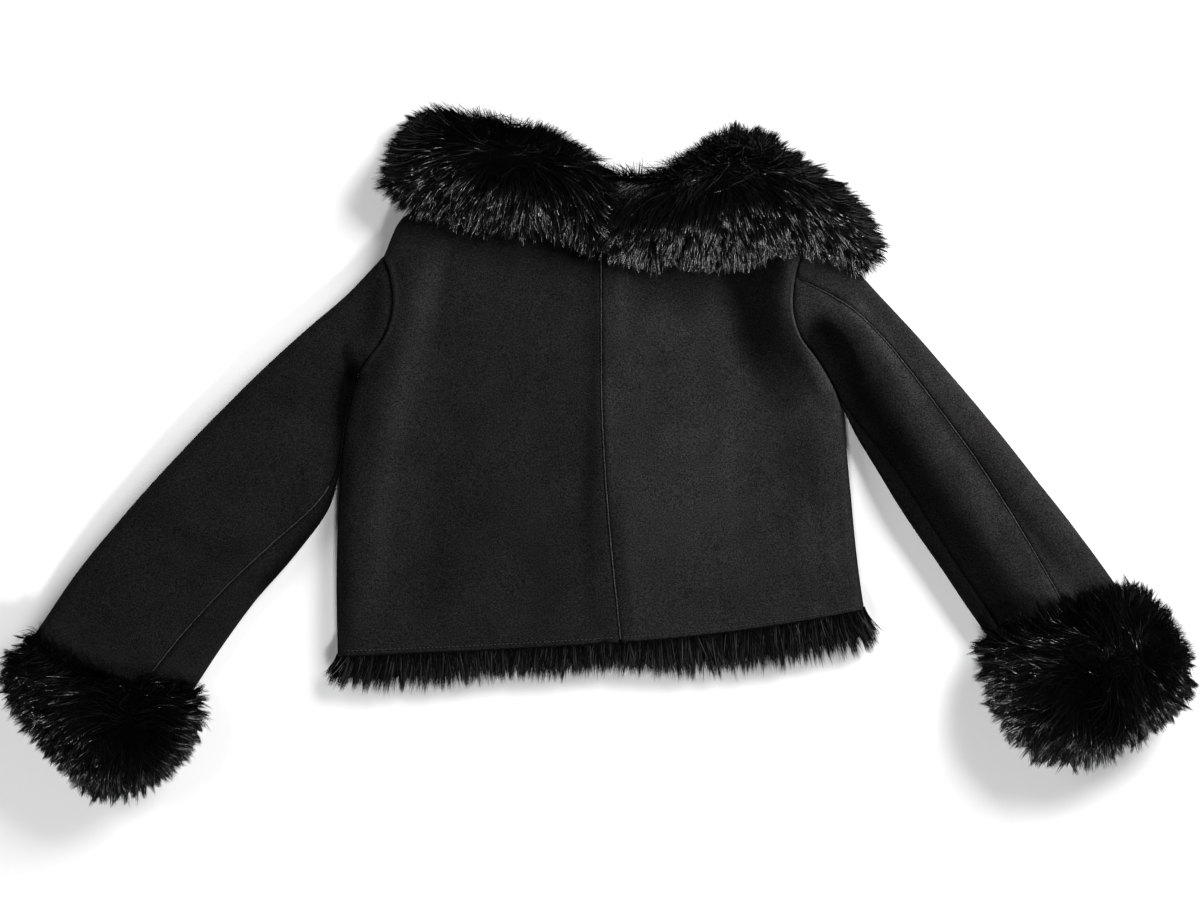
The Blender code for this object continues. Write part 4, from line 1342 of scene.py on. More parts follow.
@dataclass
class SeamEdge:
    """The cut edge of the skin that stands up along a seam, painted a little paler than the nap as a
    highlight.

    Attributes:
        name: of the object.
        line: points along the seam, in plan.
        radius: half its width.
        lift: how far its middle lies above the suede.
        finish: its finish.
        wander: how far it strays to the sides.
        probe: how far to both sides of the seam the suede's height is read.
    """

    name: str
    line: Points
    radius: float = 0.62
    lift: float = 0.25
    # Paler suede: a painted highlight of the raised edge.
    finish: SuedeFinish = SEAM_HIGHLIGHT
    wander: float = 0.12
    probe: float = 1.5

    def build(self, panels: list[bpy.types.Object]) -> bpy.types.Object:
        """Lays the edge on the panels that it joins.

        Args:
            panels: the shells on both sides of the seam.

        Returns:
            The object.
        """
        trees = [tree_of(obj) for obj in panels]
        run = unit(np.gradient(self.line, axis=0))
        aside = np.stack([-run[:, 1], run[:, 0]], -1)
        heights = []
        for x, y in self.line:
            hits = [tree.ray_cast(Vector((x + dx, y, 200.0)), Vector((0.0, 0.0, -1.0)))[0]
                    for tree in trees for dx in (-self.probe, 0.0, self.probe)]
            heights.append(max(hit.z for hit in hits if hit is not None))
        height = np.convolve(np.pad(heights, 2, mode="edge"), np.ones(5) / 5, mode="valid")
        count, around = len(self.line), 8
        place = np.arange(count)
        wander = self.wander * np.sin(place * 0.9 + 2.0 * np.sin(place * 0.23))
        points = []
        for k in range(around):
            angle = 2 * math.pi * k / around
            plan = self.line + aside * (self.radius * math.cos(angle) + wander)[:, None]
            z = height + self.lift + self.radius * 0.8 * math.sin(angle)
            points.append(np.concatenate([plan, z[:, None]], -1))
        faces = tube_faces(0, count, around)
        grid = np.stack(points, 1).reshape(-1, 3)
        obj = add_mesh(self.name, grid, faces, self.finish.material("edge_" + self.name))
        face_out(obj)
        add_attribute(obj, "nap", np.ones(count * around))
        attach(obj, "root")
        LOG.info("%s: %d faces", self.name, len(faces))
        return obj


def tree_of(obj: bpy.types.Object) -> BVHTree:
    """A tree of an object's faces, in millimetres, to cast rays at."""
    return BVHTree.FromPolygons([v.co / MM for v in obj.data.vertices],
                                [tuple(p.vertices) for p in obj.data.polygons])


@dataclass
class HemStitching:
    """A row of stitches along the hem of both backs.

    Attributes:
        up: how far the row lies above the hem.
        pitch: from one stitch to the next.
        length: of a stitch.
        radius: of the thread.
        row: length of the row on one back.
        start: where on a back's hem it starts, as a share from the side.
        share: how much of the hem it takes up.
    """

    up: float = 5.0
    pitch: float = 3.6
    length: float = 2.5
    radius: float = 0.42
    row: float = 235.0
    start: float = 0.035
    share: float = 0.955

    def build(self, backs: list[bpy.types.Object]) -> bpy.types.Object:
        """Lays the stitches on the backs.

        Args:
            backs: the two back panels.

        Returns:
            The object.
        """
        points, faces = [], []
        for obj, half in zip(backs, (Half(Side.LEFT), Half(Side.RIGHT))):
            tree = tree_of(obj)
            count = round(self.row / self.pitch)
            up = np.array([self.up / BELOW_ARM])
            for k in range(count):
                across = np.array([self.start + self.share * (k + 0.5) / count])
                here = half.below_arm(across, up)[0]
                beyond = half.below_arm(across + 0.01, up)[0]
                run = (beyond - here) / math.dist(beyond, here)
                hit = tree.ray_cast(Vector((here[0], here[1], 100.0)), Vector((0.0, 0.0, -1.0)))[0]
                if hit is None:
                    continue
                self.stitch(points, faces, hit, run)
        obj = add_mesh("hem_stitching", np.array(points), faces, THREAD.material("thread_hem"))
        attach(obj, "root")
        LOG.info("hem_stitching: %d faces", len(faces))
        return obj

    def stitch(self, points: list, faces: Faces, place: Vector, run: np.ndarray) -> None:
        """Adds one stitch, a short thread that dips at both ends.

        Args:
            points: the mesh's points so far.
            faces: its faces so far.
            place: the stitch's middle, on the suede.
            run: the direction of the row.
        """
        start, around = len(points), 6
        shares = (-0.5, -0.3, 0.0, 0.3, 0.5)
        for share in shares:
            size = self.radius * (1 - (2 * share) ** 2) ** 0.5 + 0.05
            lift = self.radius * 0.9 - 0.5 * (2 * share) ** 2
            for k in range(around):
                angle = 2 * math.pi * k / around
                side = size * math.cos(angle)
                points.append((place.x + run[0] * share * self.length - run[1] * side,
                               place.y + run[1] * share * self.length + run[0] * side,
                               place.z + lift + size * math.sin(angle)))
        faces += tube_faces(start, len(shares), around)


# --- fur ---


@dataclass(frozen=True)
class Flow:
    """A pull on the direction in which hairs lie.

    Attributes:
        x: its place across the coat.
        y: its place up the coat.
        reach: how far out it acts.
        weight: its strength.
        toward: the direction it pulls, or (0, 0) where hairs lie away from it all round, as at a whorl.
    """

    x: float
    y: float
    reach: float
    weight: float
    toward: tuple[float, float] = (0.0, 0.0)


def comb(flows: list[Flow], point: np.ndarray) -> np.ndarray:
    """The direction in which hairs lie at some places.

    Args:
        flows: the pulls on them.
        point: the places, as (x, y) in the last dimension.

    Returns:
        Unit directions of the same shape.
    """
    total = np.zeros(point.shape)
    for flow in flows:
        away = point - np.array([flow.x, flow.y])
        far = np.linalg.norm(away, axis=-1, keepdims=True)
        strength = flow.weight * bell(far, flow.reach)
        if flow.toward == (0.0, 0.0):
            total += strength * away / (far + 3.0)
        else:
            total += strength * np.array(flow.toward) / math.hypot(*flow.toward)
    return unit(total)


NEIGHBOURS = ((1, 0), (-1, 0), (1, 1), (-1, 1))  # the shifts and axes from a cell to the four beside it


class HeightMap:
    """The heights of a base form over a grid of plan cells, carried on down beyond its outline."""

    def __init__(self, points: Points, faces: Faces, cell: float, margin: float, fall: float) -> None:
        """Reads the heights with rays.

        Args:
            points: the form's points.
            faces: its faces.
            cell: size of a cell.
            margin: how far beyond the form the grid reaches.
            fall: how far the height drops for each millimetre beyond the outline.
        """
        tree = BVHTree.FromPolygons([tuple(p) for p in points], faces)
        low, high = points.min(0) - margin, points.max(0) + margin
        xs = np.arange(low[0], high[0], cell)
        ys = np.arange(low[1], high[1], cell)
        down = Vector((0.0, 0.0, -1.0))
        height = np.full((len(xs), len(ys)), -FAR)
        for i, x in enumerate(xs):
            for j, y in enumerate(ys):
                hit = tree.ray_cast(Vector((x, y, 500.0)), down)[0]
                if hit is not None:
                    height[i, j] = hit.z
        away = np.where(height > -FAR, 0.0, FAR)
        for _ in range(int(margin / cell)):
            for shift, axis in NEIGHBOURS:
                near_away = np.roll(away, shift, axis) + cell
                near_height = np.roll(height, shift, axis)
                closer = near_away < away
                height = np.where(closer, near_height, height)
                away = np.where(closer, near_away, away)
        self.origin, self.cell = np.array([xs[0], ys[0]]), cell
        self.height = np.maximum(height - fall * away, FLOOR_GAP)
        self.away = away
        self.cells = np.argwhere(away == 0.0)
        depth = np.where(away > 0.0, 0.0, FAR)
        for _ in range(int(margin / cell)):
            for shift, axis in NEIGHBOURS:
                depth = np.minimum(depth, np.roll(depth, shift, axis) + cell)
        signed = away - depth
        for _ in range(4):
            signed = (signed + sum(np.roll(signed, shift, axis) for shift, axis in NEIGHBOURS)) / 5
        self.depth = depth
        self.out_x, self.out_y = np.gradient(signed, cell)

    def read(self, table: np.ndarray, point: np.ndarray) -> np.ndarray:
        """Values of one of the grids at some places, blended between cells.

        Args:
            table: one of the grids, such as self.height.
            point: the places.

        Returns:
            The values.
        """
        spot = (point - self.origin) / self.cell
        top = np.array(table.shape) - 1.001
        spot = np.clip(spot, 0.0, top)
        i, j = spot[..., 0].astype(int), spot[..., 1].astype(int)
        u, v = spot[..., 0] - i, spot[..., 1] - j
        return ((1 - u) * (1 - v) * table[i, j] + u * (1 - v) * table[i + 1, j]
                + (1 - u) * v * table[i, j + 1] + u * v * table[i + 1, j + 1])


@dataclass(frozen=True)
class Coat:
    """How a piece of fur grows.

    Attributes:
        hairs: how many hairs.
        locks: how many locks they gather in.
        length: of a mean hair.
        loft: how far a mean hair stands off the base.
        width: of a hair at its root.
        pull: how far a lock's tips come together, from 0 to 1.
        beyond: how far hairs reach past the base's outline.
        stray: how far a lock's direction strays, in radians.
        rim: how far in from the outline hairs turn outwards.
        fray: how strongly they do.
        turn_depth: how far in from an edge hairs turn out over it against their combing.
        uneven: how much the slope at which they fall varies.
        climb: the steepest that a hair rises.
        fall: the steepest that a mean hair falls, so that it stands out over an edge.
        drape: how much steeper hairs fall towards the hem, and how much less towards the neck.
        hang: how far hair beyond the base's outline drops for each millimetre.
        guard: the share of glossy guard hairs, which are wider.
        steps: lengths that a hair is cut into.
    """

    hairs: int
    locks: int
    length: float
    loft: float
    width: float
    pull: float
    beyond: float
    stray: float
    rim: float = 13.0
    fray: float = 0.8
    turn_depth: float = 5.0
    uneven: float = 1.0
    climb: float = 0.34
    fall: float = 0.4
    drape: float = 0.0
    hang: float = 0.12
    guard: float = 0.3
    steps: int = 5


class Pelt:
    """Hairs combed over a base form."""

    def __init__(self, name: str, coat: Coat, flows: list[Flow], finish: tuple[HairFinish, HairFinish],
                 seed: int) -> None:
        """Takes the way the fur grows.

        Args:
            name: name of the hair object.
            coat: how it grows.
            flows: how it is combed.
            finish: the finishes of its dull hairs and of its guard hairs.
            seed: picks its hairs.
        """
        self.name = name
        self.coat = coat
        self.flows = flows
        self.finish = finish
        self.random = np.random.default_rng(seed)

    def roots(self, base: HeightMap, count: int) -> np.ndarray:
        """Random places on the base, a few more of them where it is steep."""
        random, cells = self.random, base.cells
        slope = np.hypot(*np.gradient(base.height, base.cell))[cells[:, 0], cells[:, 1]]
        chance = np.sqrt(1 + np.minimum(slope, 3.0) ** 2)
        picked = cells[random.choice(len(cells), count, p=chance / chance.sum())]
        return base.origin + (picked + random.uniform(-0.5, 0.5, picked.shape)) * base.cell

    def turned(self, base: HeightMap, start: np.ndarray) -> np.ndarray:
        """Whether a hair turns out over an edge that its comb points away from, as some near it do."""
        outward = np.stack([base.read(base.out_x, start), base.read(base.out_y, start)], -1)
        opposed = (comb(self.flows, start) * outward).sum(-1) < -0.1
        reach = self.coat.turn_depth * self.random.uniform(-0.6, 1.6, len(start))
        return opposed & (base.read(base.depth, start) < reach)

    def swirl(self, start: np.ndarray) -> np.ndarray:
        """How near each place is to a whorl, where hairs point every way: 1 at its middle."""
        whorls = [bell(np.hypot(start[:, 0] - flow.x, start[:, 1] - flow.y), WHORL)
                  for flow in self.flows if flow.toward == (0.0, 0.0)]
        return np.max(whorls, axis=0)

    def paths(self, base: HeightMap, start: np.ndarray, turn: np.ndarray, length: np.ndarray,
              limit: np.ndarray, turned: np.ndarray) -> np.ndarray:
        """Plan paths of hairs that follow the combing.

        Args:
            base: the base's heights.
            start: where they start.
            turn: how far each turns from the combing, in radians.
            length: their lengths.
            limit: how far each may reach past the base's outline.
            turned: whether each turns out over an edge.

        Returns:
            An array of hairs by steps + 1 by 2.
        """
        steps = self.coat.steps
        for attempt in range(2):
            line = [start]
            for _ in range(steps):
                here = line[-1]
                way = comb(self.flows, here)
                rim = bell(base.read(base.depth, here), self.coat.rim)[:, None]
                outward = np.stack([base.read(base.out_x, here), base.read(base.out_y, here)], -1)
                agree = np.clip((way * outward).sum(-1, keepdims=True) + 0.35, 0.0, 1.0)
                frayed = way + self.coat.fray * rim * agree * outward
                way = np.where(turned[:, None], outward + 0.6 * way, frayed)
                way = unit(way)
                cos, sin = np.cos(turn), np.sin(turn)
                way = np.stack([way[:, 0] * cos - way[:, 1] * sin, way[:, 0] * sin + way[:, 1] * cos], -1)
                line.append(line[-1] + way * (length / steps)[:, None])
            line = np.stack(line, 1)
            if attempt == 0:
                away = base.read(base.away, line)
                over = away > limit[:, None]
                first = np.where(over.any(1), over.argmax(1), steps + 1)
                share = np.where(first > steps, 1.0, np.maximum(first - 0.4, 0.6) / steps)
                length = length * share
        return line

    def build(self, points: Points, faces: Faces) -> list[bpy.types.Object]:
        """Grows the hairs as tapered ribbons.

        Args:
            points: the base form's points.
            faces: its faces.

        Returns:
            The objects that hold the dull hairs and the glossy ones.
        """
        coat, random = self.coat, self.random
        base = HeightMap(points, faces, 2.0, 50.0, coat.hang)
        lock_start = self.roots(base, coat.locks)
        lock_turn = random.normal(0.0, coat.stray, coat.locks)
        lock_size = random.uniform(*LOCK_SIZE, coat.locks)
        lock_limit = coat.beyond * random.uniform(*LOCK_REACH, coat.locks)
        lock_turned = self.turned(base, lock_start)
        lock_line = self.paths(base, lock_start, lock_turn, coat.length * lock_size, lock_limit, lock_turned)
        start = self.roots(base, coat.hairs)
        owner = nearest(start, lock_start)
        turned = self.turned(base, start)
        turn = lock_turn[owner] + random.normal(0.0, 0.07, coat.hairs)
        turn += random.normal(0.0, 1.0, coat.hairs) * np.maximum(0.6 * turned, self.swirl(start))
        share = random.uniform(0.0, 1.0, coat.hairs)
        size = lock_size[owner] * (0.7 + 0.45 * share) * np.where(turned, 0.65, 1.0)
        limit = lock_limit[owner] * (0.7 + 0.5 * share)
        line = self.paths(base, start, turn, coat.length * size, limit, turned)
        t = np.linspace(0.0, 1.0, coat.steps + 1)
        target = lock_line[owner] + 0.28 * (start - lock_start[owner])[:, None, :]
        tied = ~turned & ~lock_turned[owner]
        pull = (coat.pull * (0.5 + 1.1 * share) * tied * (1 - self.swirl(start)))[:, None] * t ** 1.4
        line = line + pull[..., None] * (target - line)
        loft = coat.loft * random.uniform(*LOCK_LOFT, coat.locks)[owner]
        loft = loft * random.uniform(*HAIR_LOFT, coat.hairs)
        early = np.minimum(t / CREST, 1.0)
        late = np.clip((t - CREST) / (1 - CREST), 0.0, 1.0)
        rise = early * (2 - early) - 0.6 * late ** 1.4
        under = base.read(base.height, line)
        z = under - 1.0 + loft[:, None] * rise
        step = np.linalg.norm(np.diff(line, axis=1), axis=-1)
        reach = line[:, -1] - line[:, 0]
        up = reach[:, 1] / np.maximum(np.linalg.norm(reach, axis=-1), 1e-6)
        mixed = random.uniform(*LOCK_FALL, coat.locks)[owner] * random.uniform(*HAIR_FALL, coat.hairs)
        fall = coat.fall * (1 + coat.uneven * (mixed - 1)) * (1 - coat.drape * up)
        chosen = random.uniform(0.0, 1.0, coat.hairs) < SKIRT_SHARE
        steep = chosen & (base.read(base.depth, start) < SKIRT_DEPTH)
        fall = np.where(steep, random.uniform(*SKIRT_FALL, coat.hairs), fall)
        for k in range(coat.steps):
            next_z = np.clip(z[:, k + 1], z[:, k] - fall * step[:, k], z[:, k] + coat.climb * step[:, k])
            z[:, k + 1] = np.maximum(next_z, np.where(steep, -9.0, under[:, k + 1] + 0.6 * k))
        floor = LOWEST_HAIR + random.uniform(0.0, 4.0, coat.hairs)[:, None] * t
        line = np.concatenate([line, np.maximum(z, floor)[..., None]], -1)
        rank = random.uniform(0.0, 1.0, coat.hairs) + turned + steep + 0.5 * self.swirl(start)
        return self.dress(line, np.argsort(rank))

    def dress(self, line: Points, order: np.ndarray) -> list[bpy.types.Object]:
        """Makes the dull hairs and the glossy guard hairs.

        Args:
            line: hairs by steps + 1 by 3.
            order: the hairs in the order in which they are picked as guard hairs.

        Returns:
            Both objects.
        """
        count = round(self.coat.guard * len(order))
        dull, guard = self.finish
        width = self.coat.width
        parts = [self.ribbons(self.name, line[order[count:]], width, dull),
                 self.ribbons(self.name + "_guard", line[order[:count]], width * GUARD_WIDTH, guard)]
        for obj in parts:
            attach(obj, "root")
            LOG.info("%s: %d faces", obj.name, len(obj.data.polygons))
        return parts

    def ribbons(self, name: str, line: Points, width: float, finish: HairFinish) -> bpy.types.Object:
        """Makes a tapered ribbon along each hair.

        Args:
            name: of the object.
            line: hairs by steps + 1 by 3.
            width: of a mean hair at its root.
            finish: its finish.

        Returns:
            The object.
        """
        random = self.random
        count, steps = len(line), self.coat.steps
        along = unit(np.gradient(line, axis=1))
        side = unit(np.cross(along, np.array([0.0, 0.0, 1.0])))
        over = np.cross(side, along)
        t = np.linspace(0.0, 1.0, steps + 1)
        roll = random.normal(0.0, 0.14, count)[:, None] + random.normal(0.0, 0.1, count)[:, None] * t
        side = side * np.cos(roll)[..., None] + over * np.sin(roll)[..., None]
        half = width / 2 * random.uniform(0.7, 1.3, count)[:, None] * (1 - t ** 1.6)
        left, right = line - side * half[..., None], line + side * half[..., None]
        pairs = np.stack([left[:, :-1], right[:, :-1]], 2).reshape(count, 2 * steps, 3)
        points = np.concatenate([pairs, line[:, -1:]], 1).reshape(-1, 3)
        stride = 2 * steps + 1
        pattern = [(2 * k, 2 * k + 1, 2 * k + 3, 2 * k + 2) for k in range(steps - 1)]
        tip = (2 * steps - 2, 2 * steps - 1, 2 * steps)
        lean = math.radians(HAIR_LEAN)
        facing = np.cross(side, along)
        leftward = facing * math.cos(lean) - side * math.sin(lean)
        rightward = facing * math.cos(lean) + side * math.sin(lean)
        normals = np.stack([leftward[:, :-1], rightward[:, :-1]], 2).reshape(count, 2 * steps, 3)
        normals = np.concatenate([normals, facing[:, -1:]], 1).reshape(-1, 3)
        starts = np.arange(count)[:, None] * stride
        quads = (starts[..., None] + np.array(pattern)[None]).reshape(-1, 4)
        tips = starts + np.array(tip)
        faces = [tuple(q) for q in quads.tolist()] + [tuple(q) for q in tips.tolist()]
        obj = add_mesh(name, points, faces, finish.material("hair_" + name))
        own = np.repeat(random.uniform(0.0, 1.0, count), stride)
        length = np.tile(np.concatenate([np.repeat(t[:-1], 2), [1.0]]), count)
        corner = np.concatenate([quads.reshape(-1), tips.reshape(-1)])
        layer = obj.data.uv_layers.new(name="hair")
        layer.data.foreach_set("uv", np.stack([own[corner], length[corner]], -1).astype(np.float32).ravel())
        obj.data.normals_split_custom_set_from_vertices(normals.tolist())
        return obj


def nearest(points: np.ndarray, centres: np.ndarray) -> np.ndarray:
    """The index of the centre nearest to each point."""
    found = np.empty(len(points), int)
    for start in range(0, len(points), 4000):
        part = points[start:start + 4000]
        found[start:start + 4000] = np.argmin(((part[:, None] - centres[None]) ** 2).sum(-1), 1)
    return found


def dress_base(obj: bpy.types.Object, node: str) -> None:
    """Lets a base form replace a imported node.

    Args:
        obj: the base form.
        node: the node.
    """
    face_out(obj)
    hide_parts(node)
    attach(obj, "root")


def coat_edge(x: np.ndarray) -> np.ndarray:
    """How far up the coat reaches under the collar, at some places across it."""
    places = np.linspace(0.0, 1.0, 25)
    left, right = Half(Side.LEFT), Half(Side.RIGHT)
    head = np.linspace(SLEEVE_HEAD, 0.02, 8)
    line = [smooth(LEFT_SLEEVE, head)[:, :2], smooth(left.top_line(True), places),
            smooth(right.top_line(True), places[::-1]), smooth(RIGHT_SLEEVE, head[::-1])[:, :2]]
    points = np.concatenate(line)
    return np.interp(x, points[:, 0], points[:, 1])


def grow_fur(name: str, points: Points, faces: Faces, coat: Coat, flows: list[Flow],
             seed: int) -> list[bpy.types.Object]:
    """Adds a dark base form and the long fur over it.

    Args:
        name: the node that they replace.
        points: the form's points.
        faces: its faces.
        coat: how its fur grows.
        flows: how it is combed.
        seed: picks its hairs.

    Returns:
        The base and its hair.
    """
    base = add_mesh(name + "_base", points, faces, UNDERFUR.material("underfur_" + name))
    dress_base(base, name)
    hair = Pelt(name + "_fur", coat, flows, LONG_FUR, seed).build(points, faces)
    for obj in hair:
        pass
    return [base] + hair


@dataclass
class CollarHalf:
    """Half of the fur collar: a dark base lobe and the hair over it.

    Attributes:
        half: which half.
        table: its sections.
        coat: how its fur grows.
        flows: how it is combed.
        seed: picks its hairs.
        inset: how far the base stays inside the fur's outline.
        sink: how far its crown stays below the fur.
        lean: more than 1 where its crown lies nearer to the neck than to the back.
        low_edge: height of the base's edge on the back.
        high_edge: height of its edge beyond the neckline.
        rows: steps along it.
        columns: steps across it.
    """

    half: Half
    table: list[CollarRow]
    coat: Coat
    flows: list[Flow]
    seed: int
    inset: float = 9.0
    sink: float = 9.0
    lean: float = 1.2
    low_edge: float = 25.0
    high_edge: float = 5.0
    rows: int = 44
    columns: int = 22

    def build(self) -> list[bpy.types.Object]:
        """Builds the base and its hair.

        Returns:
            The objects.
        """
        along = np.linspace(0.0, 1.0, self.rows + 1)[:, None] * np.ones(self.columns + 1)
        row = smooth(self.table, along)
        share = (1 - np.cos(np.linspace(0.0, math.pi, self.columns + 1))) / 2
        low, high = row[..., 0:2], row[..., 2:4]
        gap = high - low
        size = np.linalg.norm(gap, axis=-1, keepdims=True)
        inset = np.minimum(self.inset, size / 2 - 2.0)
        low, high = low + gap / size * inset, high - gap / size * inset
        point = low + (high - low) * share[:, None]
        edge = self.low_edge + (self.high_edge - self.low_edge) * share
        full = np.sin(math.pi * share ** self.lean).clip(0.0) ** 0.85
        top = edge + (row[..., 4] - self.sink - edge) * full
        on_coat = point[..., 1] < coat_edge(point[..., 0]) + 1.0
        bottom = np.where(on_coat, BODY_HEIGHT + 1.0, FLOOR_GAP)
        bottom = np.minimum(bottom, top - 0.5)
        upper = np.concatenate([point, top[..., None]], -1)
        lower = np.concatenate([point, bottom[..., None]], -1)
        points = np.concatenate([upper.reshape(-1, 3), lower.reshape(-1, 3)])
        faces = wall_faces(self.rows + 1, self.columns + 1)
        return grow_fur("collar_" + self.half.word, points, faces, self.coat, self.flows, self.seed)


@dataclass
class FurCuff:
    """A fur cuff: a dark base ring and the hair over it.

    Attributes:
        half: which cuff.
        table: its sections.
        coat: how its fur grows.
        flows: how it is combed.
        seed: picks its hairs.
        inset: how far the base stays inside the fur's outline.
        sink: how far its top stays below the fur.
        wall: thickness of the base.
        reach: how far along the table the base goes, as a share.
        radius: how far in its rounded edges reach.
        rows: steps along it.
        around: points of a ring.
    """

    half: Half
    table: list[CuffRow]
    coat: Coat
    flows: list[Flow]
    seed: int
    inset: float = 9.0
    sink: float = 9.0
    wall: float = 8.0
    reach: float = 0.9
    radius: float = 20.0
    rows: int = 30
    around: int = 60

    def ring(self, thinner: float) -> Points:
        """A grid of points round the cuff, from the sleeve to the mouth.

        Args:
            thinner: how far inside the base's outside the ring lies.

        Returns:
            The points.
        """
        along = np.linspace(0.0, 1.0, self.rows + 1)[:, None] * np.ones(self.around)
        place = np.arange(self.around)[None, :] * 2.0 / self.around * np.ones((self.rows + 1, 1))
        row = smooth(self.table, along * self.reach)
        start, end = row[..., 0:2], row[..., 2:4]
        gap = end - start
        width = np.linalg.norm(gap, axis=-1)
        grow = np.minimum(along / 0.12, 1.0)
        inset = (self.inset * grow + thinner)[..., None]
        start, end = start + gap / width[..., None] * inset, end - gap / width[..., None] * inset
        gap = end - start
        width = np.linalg.norm(gap, axis=-1)
        upper = place <= 1
        share, rise = half_section(width, self.radius, np.where(upper, place, 2 - place))
        toward = np.stack([self.half.out * np.abs(gap[..., 1]), -np.abs(gap[..., 0])], -1) / width[..., None]
        point = start + gap * share[..., None] + toward * (row[..., 4] * 4 * share * (1 - share))[..., None]
        middle = self.half.sleeve[-1].height / 2
        fold_depth = relief_of(FOLDS, point[..., 0], point[..., 1])
        top = row[..., 5] - self.sink * grow - 2.0 * (1 - grow)
        high = middle + np.maximum(top - middle - thinner + fold_depth, 1.0) * rise ** 0.8
        low = middle - (middle - FLOOR_GAP - np.minimum(thinner, middle - 1.5)) * rise
        return np.concatenate([point, np.where(upper, high, low)[..., None]], -1)

    def build(self) -> list[bpy.types.Object]:
        """Builds the base and its hair.

        Returns:
            The objects.
        """
        outer, inner = self.ring(0.0), self.ring(self.wall)
        points = np.concatenate([outer.reshape(-1, 3), inner.reshape(-1, 3)])
        faces = wall_faces(self.rows + 1, self.around, ring=True)
        return grow_fur("cuff_" + self.half.word, points, faces, self.coat, self.flows, self.seed)


